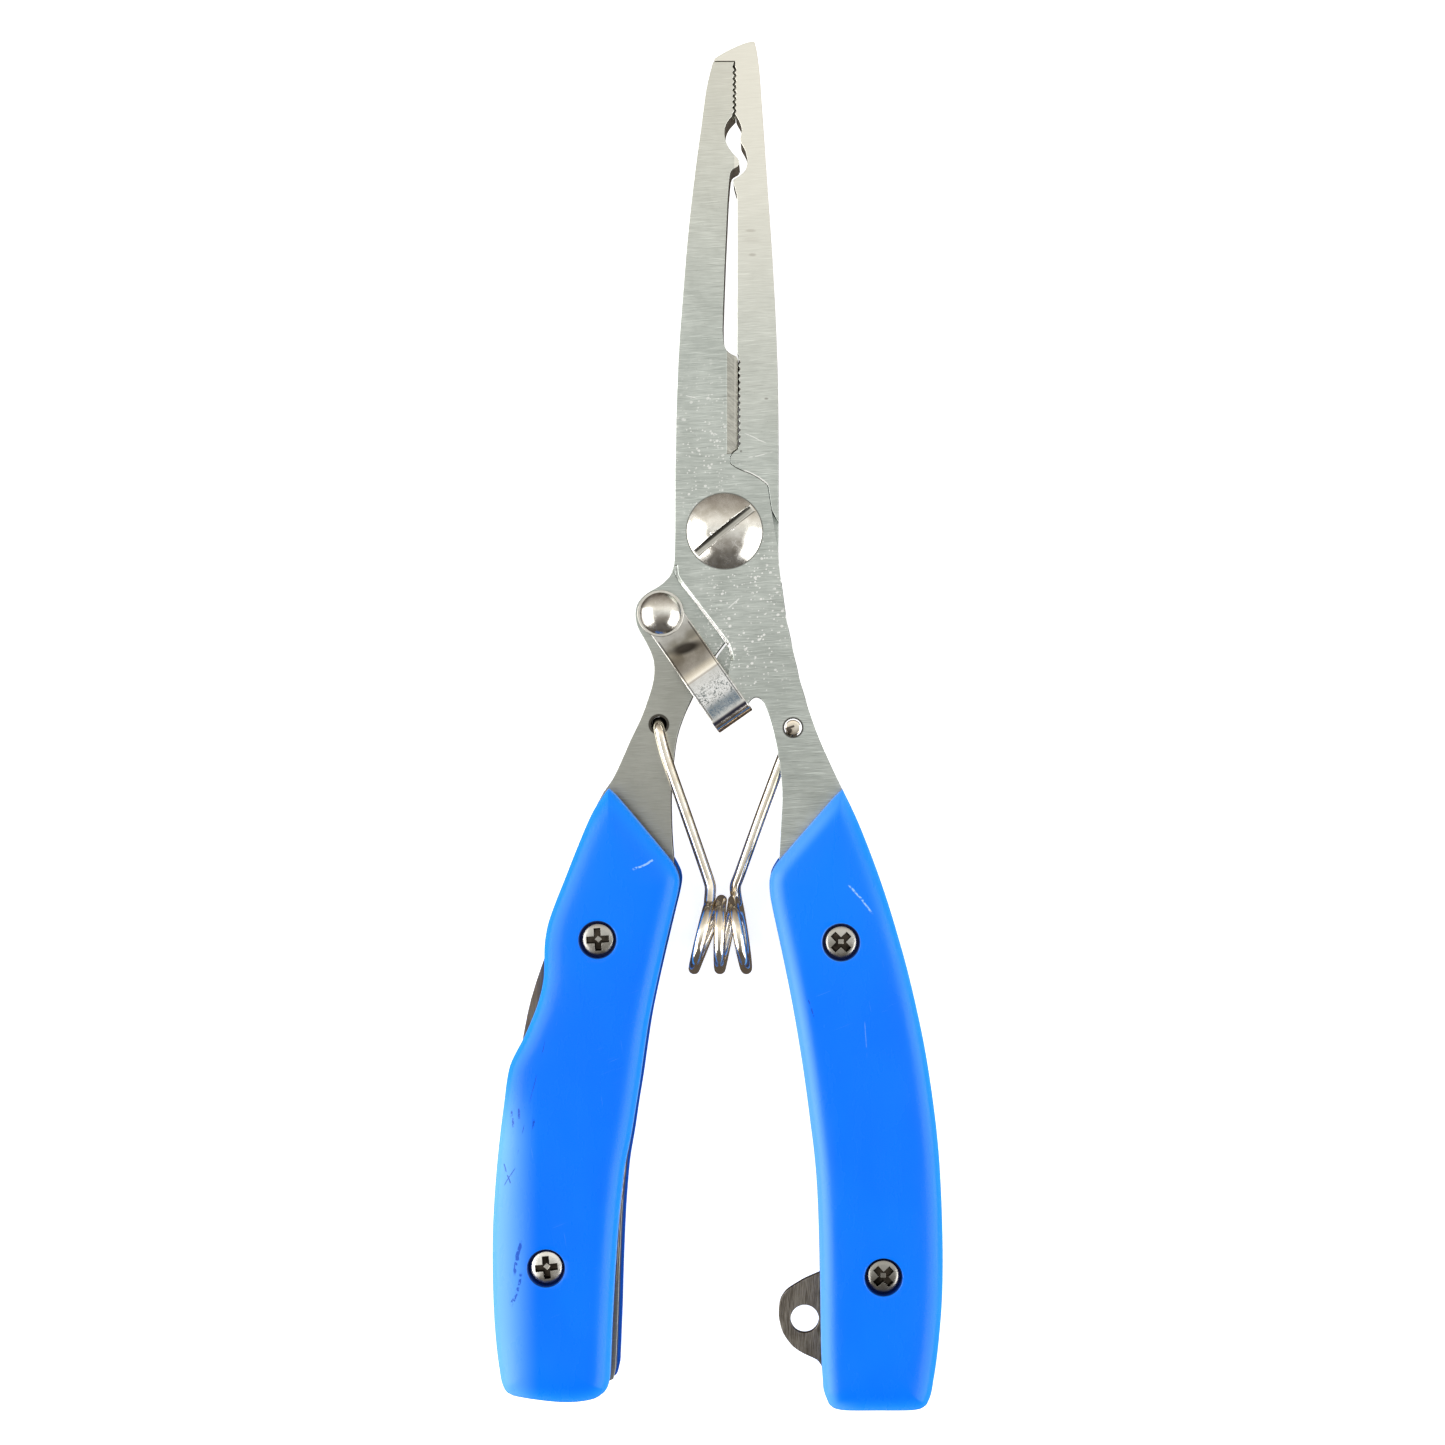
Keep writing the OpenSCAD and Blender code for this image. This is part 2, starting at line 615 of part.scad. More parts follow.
module sleeve_nut(place) {
  color(nickel) translate([place.x, place.y, -sink_floor]) difference() {
    union() {
      translate([0, 0, -0.6]) cylinder(r = screw_head_d / 2, h = 0.6);
      translate([0, 0, -0.6]) rotate([180, 0, 0]) dome(screw_head_d / 2, head_h - 0.6);
      cylinder(r = 2, h = 2 * sink_floor - 1);
    }
    translate([0, 0, 0.5]) cylinder(r = 1.25, h = 2 * sink_floor);
    rotate([180, 0, 0]) cross_recess(0);
  }
}

module left_upper_screw() { handle_screw(left_upper, 4); }
module left_lower_screw() { handle_screw(left_lower, 8); }
module right_upper_screw() { handle_screw(right_upper, 45); }
module right_lower_screw() { handle_screw(right_lower, 43); }
module left_upper_nut() { sleeve_nut(left_upper); }
module left_lower_nut() { sleeve_nut(left_lower); }
module right_upper_nut() { sleeve_nut(right_upper); }
module right_lower_nut() { sleeve_nut(right_lower); }

translate(pivot_at) jaw_lever_front();
translate(pivot_at) jaw_lever_rear();
translate(pivot_at) pivot_screw();
translate(pivot_at) pivot_washer();
translate(pivot_at) pivot_nut();
translate(pivot_at) latch();
translate(pivot_at) latch_rivet();
translate(pivot_at) latch_washer();
translate(pivot_at) spring_left_half();
translate(pivot_at) spring_right_half();
translate(pivot_at) left_front_scale();
translate(pivot_at) left_rear_scale();
translate(pivot_at) right_front_scale();
translate(pivot_at) right_rear_scale();
translate(pivot_at) lanyard_plate();
translate(pivot_at) knife_blade();
translate(pivot_at) knife_liner();
translate(pivot_at) knife_spacer();
translate(pivot_at) knife_stop_pin();
translate(pivot_at) knife_washers();
translate(pivot_at) left_upper_screw();
translate(pivot_at) left_lower_screw();
translate(pivot_at) right_upper_screw();
translate(pivot_at) right_lower_screw();
translate(pivot_at) left_upper_nut();
translate(pivot_at) left_lower_nut();
translate(pivot_at) right_upper_nut();
translate(pivot_at) right_lower_nut();
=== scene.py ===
import json
import math

import bmesh
import bpy
import numpy as np
from mathutils import Matrix, Vector


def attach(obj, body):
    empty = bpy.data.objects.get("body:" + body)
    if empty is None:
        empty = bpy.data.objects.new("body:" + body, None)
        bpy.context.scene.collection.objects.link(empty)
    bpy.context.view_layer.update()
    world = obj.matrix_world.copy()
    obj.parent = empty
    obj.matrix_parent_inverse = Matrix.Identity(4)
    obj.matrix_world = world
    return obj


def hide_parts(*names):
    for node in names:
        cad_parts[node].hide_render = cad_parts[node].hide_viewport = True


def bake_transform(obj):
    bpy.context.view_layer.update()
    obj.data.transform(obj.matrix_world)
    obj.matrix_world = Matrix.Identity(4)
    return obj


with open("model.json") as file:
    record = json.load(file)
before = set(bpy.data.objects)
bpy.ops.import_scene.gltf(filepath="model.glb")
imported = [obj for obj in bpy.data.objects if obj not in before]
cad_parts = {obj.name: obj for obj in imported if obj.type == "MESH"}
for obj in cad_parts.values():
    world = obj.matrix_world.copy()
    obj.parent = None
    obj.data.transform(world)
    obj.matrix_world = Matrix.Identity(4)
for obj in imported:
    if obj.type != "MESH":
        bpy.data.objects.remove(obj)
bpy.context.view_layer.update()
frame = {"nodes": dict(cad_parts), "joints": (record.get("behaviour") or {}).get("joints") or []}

# Lengths below are in millimetres from the jaw pivot, and z is measured from the plane where the levers meet.
MM = 0.001
PIVOT = Vector(next(j["pos_m"] for j in frame["joints"] if j["name"] == "jaw_pivot"))
NODES = frame["nodes"]


def place(x, y, z=0.0):
    return PIVOT + Vector((x, y, z)) * MM


# ---------------------------------------------------------------------------------------------------
# Material nodes
# ---------------------------------------------------------------------------------------------------

class Nodes:
    """Builds a node tree. A value is a number, a colour, or the socket of another node."""

    def __init__(self, tree):
        self.tree = tree
        self.tree.nodes.clear()

    def add(self, kind, **settings):
        node = self.tree.nodes.new(kind)
        for key, value in settings.items():
            setattr(node, key, value)
        return node

    def link(self, value, socket):
        if isinstance(value, bpy.types.NodeSocket):
            self.tree.links.new(value, socket)
        elif isinstance(value, (tuple, list)) and len(value) == 3 and socket.type == "RGBA":
            socket.default_value = (*value, 1)
        else:
            socket.default_value = value

    def vector(self, operation, a, b=None, scale=None):
        node = self.add("ShaderNodeVectorMath", operation=operation)
        self.link(a, node.inputs[0])
        if b is not None:
            self.link(b, node.inputs[1])
        if scale is not None:
            node.inputs["Scale"].default_value = scale
        return node.outputs["Vector"]

    def math(self, operation, a, b=0.0, c=0.0):
        node = self.add("ShaderNodeMath", operation=operation)
        for value, socket in zip((a, b, c), node.inputs):
            self.link(value, socket)
        return node.outputs[0]

    def total(self, *values):
        out = values[0]
        for value in values[1:]:
            out = self.math("ADD", out, value)
        return out

    def product(self, *values):
        out = values[0]
        for value in values[1:]:
            out = self.math("MULTIPLY", out, value)
        return out

    def axis(self, name, vector):
        node = self.add("ShaderNodeSeparateXYZ")
        self.link(vector, node.inputs[0])
        return node.outputs[name]

    def span(self, value, a, b, to_a=0.0, to_b=1.0, smooth=True):
        """value carried from the range a to b over to the range to_a to to_b, and held at its ends."""
        node = self.add("ShaderNodeMapRange", interpolation_type="SMOOTHSTEP" if smooth else "LINEAR")
        for v, socket in zip((value, a, b, to_a, to_b), node.inputs):
            self.link(v, socket)
        return node.outputs[0]

    def between(self, value, a, b, c, d):
        """1 where value is from b to c, and fading to 0 at a and d."""
        return self.product(self.span(value, a, b), self.span(value, d, c))

    def mix(self, share, a, b):
        node = self.add("ShaderNodeMix", data_type="RGBA")
        self.link(share, node.inputs[0])
        self.link(a, node.inputs[6])
        self.link(b, node.inputs[7])
        return node.outputs[2]

    def coat(self, base, where, strength, colour):
        """base with a colour over it where the mask is 1, as strong as strength says."""
        return self.mix(self.product(where, strength), base, colour)


class Look(Nodes):
    """One procedural material. Its patterns use object coordinates, in millimetres from the pivot."""

    def __init__(self, name, metallic, roughness, ior=1.5):
        self.mat = bpy.data.materials.new(name)
        self.mat.use_nodes = True
        super().__init__(self.mat.node_tree)
        out = self.add("ShaderNodeOutputMaterial")
        self.bsdf = self.add("ShaderNodeBsdfPrincipled")
        self.link(self.bsdf.outputs[0], out.inputs[0])
        self.bsdf.inputs["Metallic"].default_value = metallic
        self.bsdf.inputs["Roughness"].default_value = roughness
        self.bsdf.inputs["IOR"].default_value = ior
        coords = self.add("ShaderNodeTexCoord").outputs["Object"]
        self.mm = self.vector("SCALE", self.vector("SUBTRACT", coords, tuple(PIVOT)), scale=1 / MM)
        self.dull = None  # where an extra pattern asks for a rougher surface

    def axis(self, name, vector=None):
        return super().axis(name, vector or self.mm)

    def mapped(self, scale=(1, 1, 1), turn=0.0, shift=(0, 0, 0), vector=None):
        """The vector (at first self.mm) turned about Z by -turn degrees, then scaled and shifted."""
        vector = vector or self.mm
        if turn:
            node = self.add("ShaderNodeMapping")
            self.link(vector, node.inputs["Vector"])
            node.inputs["Rotation"].default_value = (0, 0, math.radians(-turn))
            vector = node.outputs[0]
        node = self.add("ShaderNodeMapping")
        self.link(vector, node.inputs["Vector"])
        node.inputs["Location"].default_value = shift
        node.inputs["Scale"].default_value = scale
        return node.outputs[0]

    def noise(self, vector, detail=2.0, rough=0.5, warp=0.0):
        node = self.add("ShaderNodeTexNoise")
        self.link(vector, node.inputs["Vector"])
        node.inputs["Scale"].default_value = 1
        node.inputs["Detail"].default_value = detail
        node.inputs["Roughness"].default_value = rough
        node.inputs["Distortion"].default_value = warp
        return node.outputs["Fac"]

    def noises(self, scale):
        """Three independent noises at once, each from -0.5 to 0.5."""
        node = self.add("ShaderNodeTexNoise")
        self.link(self.mapped(scale), node.inputs["Vector"])
        node.inputs["Detail"].default_value = 3
        return self.vector("SUBTRACT", node.outputs["Color"], (0.5, 0.5, 0.5))

    def cells(self, vector):
        node = self.add("ShaderNodeTexVoronoi")
        self.link(vector, node.inputs["Vector"])
        node.inputs["Scale"].default_value = 1
        return node.outputs["Distance"]

    def line(self, start, end):
        """The line's length, and the place relative to its start with X along it."""
        dx, dy = end[0] - start[0], end[1] - start[1]
        turn = math.degrees(math.atan2(dy, dx))
        from_start = self.vector("SUBTRACT", self.mm, (*start, 0))
        return math.hypot(dx, dy), self.mapped(turn=turn, vector=from_start)

    def mark(self, start, end, width, breaks=1.2, share=0.55):
        """1 on a thin broken scratch from start to end, and 0 away from it."""
        length, local = self.line(start, end)
        wander = self.noise(self.mapped((0.25, 0.25, 0.25)), detail=3)
        wander = self.math("MULTIPLY_ADD", wander, width * 6, -width * 3)
        side = self.math("ABSOLUTE", self.math("ADD", self.axis("Y", local), wander))
        across = self.span(side, width * 0.4, width, 1, 0)
        inside = self.between(self.axis("X", local), 0, length * 0.15, length * 0.8, length)
        gaps = self.noise(self.mapped((breaks,) * 3), detail=2)
        return self.product(across, inside, self.span(gaps, share - 0.12, share + 0.05, 1, 0))

    def spot(self, centre, radii, soft=0.5, turn=0.0):
        """1 inside an ellipse round centre, and 0 outside it."""
        from_centre = self.vector("SUBTRACT", self.mm, (*centre, 0))
        node = self.add("ShaderNodeVectorMath", operation="LENGTH")
        self.link(self.mapped((1 / radii[0], 1 / radii[1], 0), turn, vector=from_centre), node.inputs[0])
        return self.span(node.outputs["Value"], 1 - soft, 1 + soft, 1, 0)

    def disc(self, centre, radius, soft=0.5):
        return self.spot(centre, (radius, radius), soft)

    def stripe(self, start, end, width, soft=0.4):
        """1 on a straight clean line from start to end, and 0 away from it."""
        length, local = self.line(start, end)
        side = self.math("ABSOLUTE", self.axis("Y", local))
        across = self.span(side, width * (1 - soft) / 2, width * (1 + soft) / 2, 1, 0)
        inside = self.between(self.axis("X", local), -0.1, 0.1, length - 0.1, length + 0.1)
        return self.product(across, inside)

    def colour(self, value):
        self.link(value, self.bsdf.inputs["Base Color"])

    def rough(self, value):
        self.link(value, self.bsdf.inputs["Roughness"])

    def bump(self, value, depth, strength):
        node = self.add("ShaderNodeBump")
        node.inputs["Strength"].default_value = strength
        node.inputs["Distance"].default_value = depth * MM
        self.link(value, node.inputs["Height"])
        self.link(node.outputs[0], self.bsdf.inputs["Normal"])


def brushed(name, dark, light, roughness, lines="X", extra=None):
    """Ground steel: short uneven lines along one axis, with patches, hairlines and pits."""
    look = Look(name, 1.0, roughness)
    turn = 0 if lines == "X" else 90
    drift = look.vector("MULTIPLY", look.noises((0.05, 0.05, 0.05)), (0.5, 0.5, 0))
    bent = look.vector("ADD", look.mm, drift)
    fine = look.noise(look.mapped((0.35, 7.5, 0.5), turn=turn + 2, vector=bent), detail=4, rough=0.7)
    coarse = look.noise(look.mapped((0.22, 3.4, 0.3), turn=turn - 3, vector=bent), detail=4, rough=0.6)
    hair = look.noise(look.mapped((0.22, 9.0, 0.5), turn=turn + 5, shift=(3, 8, 1)), detail=2)
    blotch = look.noise(look.mapped((0.10, 0.08, 0.10)), detail=4, rough=0.65, warp=0.6)
    tone = look.math("MULTIPLY_ADD", fine, 0.60, look.math("MULTIPLY_ADD", coarse, 0.42, -0.13))
    tone = look.math("MULTIPLY_ADD", blotch, 0.45, look.math("SUBTRACT", tone, 0.17))
    base = look.mix(look.span(tone, 0.33, 0.67, smooth=False), dark, light)
    base = look.mix(look.span(hair, 0.60, 0.72, 0, 0.6), base, tuple(min(1.0, 1.3 * c) for c in light))
    base = look.mix(look.span(hair, 0.40, 0.29, 0, 0.6), base, tuple(0.6 * c for c in dark))
    pits = look.span(look.cells(look.mapped((1.5, 1.9, 1.5))), 0.06, 0.1, 1, 0)
    pits = look.product(pits, look.span(look.noise(look.mapped((0.8, 0.8, 0.8))), 0.55, 0.62))
    base = look.coat(base, pits, 0.6, tuple(0.3 * c for c in dark))
    if extra:
        base = extra(look, base)
    look.colour(base)
    rough = look.math("MULTIPLY_ADD", coarse, 0.2, roughness - 0.1)
    if look.dull:
        rough = look.math("MAXIMUM", rough, look.product(look.dull, 0.6))
    look.rough(rough)
    grain = look.math("MULTIPLY_ADD", fine, 0.8, look.product(coarse, 0.5))
    look.bump(look.math("SUBTRACT", grain, pits), 0.014, 0.6)
    return look.mat


LEFT_HOLE, RIGHT_HOLE = (-10.55, -30.5), (10.8, -31)
NOTCHES, NOTCH_START, NOTCH_RUN = 13, 13.3, 13.9


def wear_and_painted_light(look, base):
    """Nicks and scuffs round the pivot, stains on one jaw, a painted shadow round the pivot screw's dome, and
    a painted highlight on a thin arc round it.
    """
    area = look.math("MAXIMUM", look.spot((3.5, -14), (7, 14), 0.45),
                     look.product(look.spot((-3, 12), (5, 12), 0.6), 0.7))
    for size, shift, share in ((1.5, 0, 0.95), (0.85, 7, 0.9)):
        cells = look.cells(look.mapped((size, size * 1.25, size), turn=20, shift=(shift, 2, 1)))
        patchy = look.span(look.noise(look.mapped((0.7, 0.7, 0.7), shift=(7, shift, 1))), 0.45, 0.55)
        nicks = look.product(look.span(cells, 0.17, 0.27, 1, 0), patchy, area)
        base = look.coat(base, nicks, share, (1.0, 1.0, 0.98))
    scuffs = look.total(look.mark((0.3, -12.2), (2.8, -10.0), 0.14, 1.5, 0.62),
                        look.mark((3.0, 15.5), (7.4, 13.6), 0.10, 1.2, 0.6),
                        look.mark((3.6, 11.6), (7.8, 12.6), 0.10, 1.2, 0.6),
                        look.mark((-6.5, 21.5), (-4.2, 20.8), 0.08, 1.2, 0.6))
    base = look.mix(look.math("MINIMUM", scuffs, 0.7), base, (0.95, 0.96, 0.94))
    stains = look.total(look.spot((4.1, 47.4), (0.75, 0.22)), look.spot((4.4, 43.6), (0.55, 0.22)),
                        look.spot((6.6, 20.9), (0.3, 0.14)), look.spot((2.6, 12.6), (0.16, 0.16)),
                        look.product(look.spot((4.3, 46), (1.3, 0.5)), 0.3))
    base = look.coat(base, stains, 0.7, (0.09, 0.08, 0.07))
    # Painted shadow: a dark ring where the pivot screw's dome meets the lever.
    base = look.coat(base, look.disc((0, 0), 6.1, 0.01), 0.7, (0.10, 0.09, 0.08))
    # Painted highlight: a bright thin arc round the pivot, on its upper right side.
    ring = look.math("SUBTRACT", look.disc((0, 0), 10.16, 0.006), look.disc((0, 0), 9.93, 0.006))
    rim_highlight_share = look.product(look.between(look.axis("X"), 2.9, 3.4, 6.6, 7.2), look.span(look.axis("Y"), 6, 7))
    return look.coat(base, ring, rim_highlight_share, (0.98, 0.98, 0.96))


def jaw_grain_and_painted_light(look, base):
    """The line cutter's sloped face with its grinding grain under painted shade, painted shade in its
    notches, a lighter and warmer painted highlight towards the tips, and a painted highlight on the right
    jaw.
    """
    x, y, z = (look.axis(name) for name in "XYZ")
    # Painted shade: the cutter's sloped face is darkened, and its diagonal grinding grain is kept.
    cutter = look.product(look.span(z, 2.47, 2.42), look.between(y, 10.4, 10.8, 28.4, 28.6),
                          look.between(x, 0.1, 0.16, 2.12, 2.2))
    ground_grain_and_shade = look.noise(look.mapped((0.5, 3.5, 1), turn=-38), detail=3, rough=0.6)
    ground_grain_and_shade = look.mix(look.span(ground_grain_and_shade, 0.35, 0.65), (0.24, 0.225, 0.19), (0.42, 0.40, 0.345))
    base = look.coat(base, cutter, 0.75, ground_grain_and_shade)
    # Painted shade in the serration notches along the cutter's edge.
    wave = look.math("FRACT", look.product(look.math("SUBTRACT", y, NOTCH_START), NOTCHES / NOTCH_RUN))
    wave = look.math("ABSOLUTE", look.math("SUBTRACT", wave, 0.5))
    reach = look.span(wave, 0.08, 0.42, 2.56, 2.2, smooth=False)
    notch = look.product(look.span(look.math("SUBTRACT", x, reach), -0.04, 0.02, 1, 0),
                         look.span(x, 2.12, 2.18),
                         look.between(y, NOTCH_START - 0.1, NOTCH_START, NOTCH_START + NOTCH_RUN,
                                      NOTCH_START + NOTCH_RUN + 0.1))
    base = look.coat(base, notch, 0.9, (0.05, 0.045, 0.04))
    # Painted highlight: lighter, warmer colour towards the jaw tips.
    base = look.coat(base, look.span(y, 25, 80), 0.6, (0.80, 0.77, 0.68))
    # Painted highlight: the right jaw lighter still.
    right_jaw = look.math("MAXIMUM", look.span(x, 1.45, 1.6), look.span(y, 74.05, 74.15))
    right_jaw = look.product(right_jaw, look.span(y, 12, 62, 0.3, 1), look.span(y, 8, 22))
    return look.coat(base, right_jaw, 0.5, (0.98, 0.95, 0.86))


def neck_tone_and_painted_light(look, base):
    """A duller left neck, painted highlights on the edges where the levers lap, and painted shade in and
    round the two spring holes.
    """
    neck = look.product(look.span(look.axis("Y"), -12, -22), look.span(look.axis("X"), -3, -7))
    base = look.coat(base, neck, 0.55, (0.34, 0.32, 0.275))
    # Painted highlights along the edges where the levers lap.
    lap = look.math("MAXIMUM", look.stripe((-6.9, -8.3), (-0.2, -17.1), 1.5, 0.1),
                    look.stripe((-0.5, -16.6), (0.7, -19.6), 1.5, 0.1))
    lap = look.product(lap, look.between(look.axis("Z"), 1.85, 1.9, 2.44, 2.47))
    base = look.coat(base, lap, 0.9, (1.0, 1.0, 0.99))
    # Painted shade in and round each spring hole; its roughness is raised there too.
    for hole in (LEFT_HOLE, RIGHT_HOLE):
        ring = look.product(look.disc(hole, 1.66, 0.05), 0.92)
        base = look.mix(ring, base, (0.045, 0.04, 0.033))
        look.dull = look.math("MAXIMUM", ring, look.dull) if look.dull else ring
    return base


def lever_wear_and_painted_light(look, base):
    return neck_tone_and_painted_light(look, jaw_grain_and_painted_light(look, wear_and_painted_light(look, base)))


lever_steel = brushed("lever_steel_look", (0.45, 0.485, 0.455), (0.70, 0.74, 0.705), 0.34,
                      extra=lever_wear_and_painted_light)
plate_steel = brushed("plate_steel_look", (0.15, 0.13, 0.11), (0.58, 0.54, 0.48), 0.36, lines="Y")
blade_steel = brushed("blade_steel_look", (0.19, 0.16, 0.135), (0.34, 0.29, 0.25), 0.36, lines="Y")


def plated(name, dark, light, roughness, marks=1.0, extra=None):
    """Bright plating with a slight haze, faint rub marks and small dents."""
    look = Look(name, 1.0, roughness)
    haze = look.noise(look.mapped((0.5, 0.5, 0.5)), detail=4, rough=0.6)
    base = look.mix(look.span(haze, 0.3, 0.7), dark, light)
    rub = look.noise(look.mapped((0.4, 6, 2), turn=35), detail=4, rough=0.7)
    base = look.mix(look.span(rub, 0.62, 0.8, 0, 0.35 * marks), base, tuple(0.55 * c for c in dark))
    look.colour(extra(look, base) if extra else base)
    look.rough(look.span(haze, 0.25, 0.75, roughness * 0.7, roughness * 1.5))
    dents = look.span(look.cells(look.mapped((0.9, 0.9, 0.9))), 0.05, 0.22)
    look.bump(look.math("MULTIPLY_ADD", rub, 0.3, look.product(dents, 0.5 * marks)), 0.02, 0.5)
    return look.mat


def along(start, turn, distance, aside=0.0):
    """The point at a distance from start in the direction turn, and aside to its left."""
    c, s = math.cos(math.radians(turn)), math.sin(math.radians(turn))
    return start[0] + distance * c - aside * s, start[1] + distance * s + aside * c


SLOT_TURN = 39


def slot_painted_light_and_scratches(look, base):
    """Painted shade along and inside the screwdriver slot, a painted highlight along one of its edges, and a
    few bright scratches on the dome.
    """
    def run(start, end, aside, width, soft=0.4):
        return look.stripe(along((0, 0), SLOT_TURN, start, aside), along((0, 0), SLOT_TURN, end, aside),
                           width, soft)

    # Painted shade: a black line and a darker line along the slot's walls, and a grey slot floor.
    base = look.coat(base, run(-5.6, 5.5, 0.4, 0.4), 0.92, (0.02, 0.018, 0.015))
    base = look.coat(base, run(-5.5, 5.6, -0.5, 0.16), 0.7, (0.12, 0.11, 0.10))
    base = look.coat(base, run(-5.5, 5.5, 0.02, 0.6, 0.3), 0.5, (0.30, 0.29, 0.25))
    # The first stripe is a painted highlight along the slot's edge; the two marks are scratches.
    scratch_and_edge_highlight = look.total(run(-4.9, 4.9, 0.72, 0.12), look.mark((0.9, -1.6), (2.2, -2.6), 0.16, 1.5, 0.6),
                         look.mark((1.2, -3.0), (1.9, -1.4), 0.12, 1.5, 0.6))
    return look.mix(look.math("MINIMUM", scratch_and_edge_highlight, 0.85), base, (1, 0.99, 0.95))


LATCH_START, LATCH_TURN = (-10.2, -12.9), -55


def latch_painted_reflections_and_wear(look, base):
    """Painted reflections, highlights and shade in bands across the polished strip, a cloudy darker band over
    its bend that is partly stain, scratch texture partly tinted as painted reflection, and painted shade
    along its two long edges.
    """
    def at(distance, aside):
        return along(LATCH_START, LATCH_TURN, distance, aside)

    def band(distance, width, half=3.1):
        return look.stripe(at(distance, -half), at(distance, half), width, 0.8)

    # Cloudy darker band over the bend: partly stain, partly painted shade. The dark oval is a painted
    # reflection.
    cloudy = look.span(look.noise(look.mapped((0.4, 0.4, 0.4))), 0.3, 0.7, 0.65, 0.95)
    base = look.coat(base, cloudy, band(6.6, 6.8), (0.235, 0.21, 0.165))
    oval = look.spot(at(6.8, 0.1), (0.85, 2.295), 0.47, LATCH_TURN - 16)
    base = look.coat(base, oval, 0.95, (0.035, 0.03, 0.025))
    # Painted highlight: a bright band near the end of the bend, with a thin painted shade line after it.
    base = look.coat(base, band(11.1, 1.3), 0.6, (0.95, 0.88, 0.74))
    base = look.coat(base, band(11.9, 0.3), 0.55, (0.34, 0.27, 0.22))
    # Scratch texture; its bright and dark-teal parts are partly painted reflection.
    crackle = look.noise(look.mapped((1.9, 1.9, 1.9)), detail=5, rough=0.75, warp=1.5)
    base = look.coat(base, look.span(crackle, 0.47, 0.52), band(15.0, 3.8), (1, 1, 1))
    base = look.coat(base, look.span(crackle, 0.47, 0.42), band(15.4, 3.6), (0.12, 0.16, 0.17))
    # Painted reflections: bluish, navy and brown bands where the strip bends down to its tab.
    base = look.coat(base, look.span(crackle, 0.4, 0.6, 0.5, 0.95), band(17.6, 1.9, 2.7), (0.12, 0.19, 0.26))
    base = look.coat(base, band(19.4, 0.55), 0.92, (0.015, 0.02, 0.09))
    base = look.coat(base, band(20.5, 1.2), 0.85, (0.62, 0.46, 0.30))
    # Painted shade along the strip's two long edges.
    for side in (-2.86, 2.86):
        base = look.coat(base, look.stripe(at(3.5, side), at(18.6, side), 0.17), 0.75, (0.06, 0.055, 0.05))
    return base


def wire_marks(look, base):
    """Dirt and a pinched notch on the wire end that shows in the right spring hole."""
    front = look.span(look.axis("Z"), 0.9, 1.3)
    notch = look.total(look.stripe((9.5, -31.25), (11.0, -30.75), 0.34),
                       look.spot((10.15, -31.55), (0.5, 0.35), 0.4),
                       look.stripe((10.2, -31.9), (10.5, -31.2), 0.3))
    notch = look.product(look.math("MINIMUM", notch, 0.9), front)
    return look.mix(notch, base, (0.06, 0.045, 0.035))


LEFT_SCREWS = ((-19.6, -64.0), (-27.6, -115.1))
RIGHT_SCREWS = ((18.3, -64.4), (24.9, -116.5))


def screw_painted_shade(look, base):
    """Painted shade: three of the four heads are darker than the lower left one."""
    for centre, share in ((LEFT_SCREWS[0], 0.6), (RIGHT_SCREWS[0], 0.55), (RIGHT_SCREWS[1], 0.85)):
        base = look.coat(base, look.disc(centre, 2.6, 0.1), share, (0.26, 0.25, 0.23))
    return base


NICKEL = (0.66, 0.63, 0.57), (0.84, 0.82, 0.77), 0.2
nickel = plated("nickel_look", *NICKEL)
pivot_look = plated("pivot_screw_look", *NICKEL, 0.25, extra=slot_painted_light_and_scratches)
polished = plated("polished_look", (0.72, 0.71, 0.68), (0.90, 0.89, 0.86), 0.12, 0.6, extra=latch_painted_reflections_and_wear)
spring_look = plated("spring_wire_look", (0.86, 0.76, 0.61), (0.98, 0.93, 0.83), 0.13, 0.8, extra=wire_marks)
screw_look = plated("screw_head_look", (0.70, 0.68, 0.62), (0.90, 0.88, 0.83), 0.24, extra=screw_painted_shade)
# The cross recess's material is painted shade: near-black metal.
recess_shade_look = plated("screw_recess_look", (0.015, 0.012, 0.01), (0.09, 0.075, 0.06), 0.2, 0.5)
bronze = plated("bronze_look", (0.52, 0.34, 0.15), (0.68, 0.47, 0.22), 0.3)


def grip_painted_light(look, base):
    """Painted light on the borders and on the handles' left edges, painted shade on the walls and in the
    screw wells, and a lighter top.
    """
    x, y, z = (look.axis(name) for name in "XYZ")
    edge = look.add("ShaderNodeAttribute", attribute_name="edge").outputs["Fac"]
    # Painted light: the edge attribute lightens the borders, most at the very rim.
    base = look.mix(look.span(edge, 0.1, 1.0), base, (0.012, 0.28, 1.0))
    base = look.mix(look.span(edge, 0.95, 1.0, 0, 0.35), base, (0.35, 0.70, 1.0))
    # Painted light on the left handle's lower left edge and on the right handle's inner edge.
    outer_left = look.product(look.span(x, -28.5, -34.5), look.span(y, -84, -96))
    base = look.coat(base, outer_left, 0.6, (0.21, 0.55, 1.0))
    inner_right = look.product(look.span(edge, 0.25, 0.7), look.span(x, 22, 14), look.span(x, 4, 6))
    base = look.coat(base, inner_right, 0.5, (0.22, 0.54, 1.0))
    # Painted shade on the scales' side walls.
    wall = look.span(look.math("ABSOLUTE", z), 4.3, 3.3)
    base = look.coat(base, wall, 0.85, (0.002, 0.045, 0.42))
    base = look.mix(look.span(y, -80, -48, 0, 0.35), base, (0.001, 0.22, 1.0))
    # Painted shade in the screw wells.
    for at in LEFT_SCREWS + RIGHT_SCREWS:
        base = look.coat(base, look.disc(at, 2.98, 0.03), 0.95, (0.0, 0.006, 0.12))
    return base


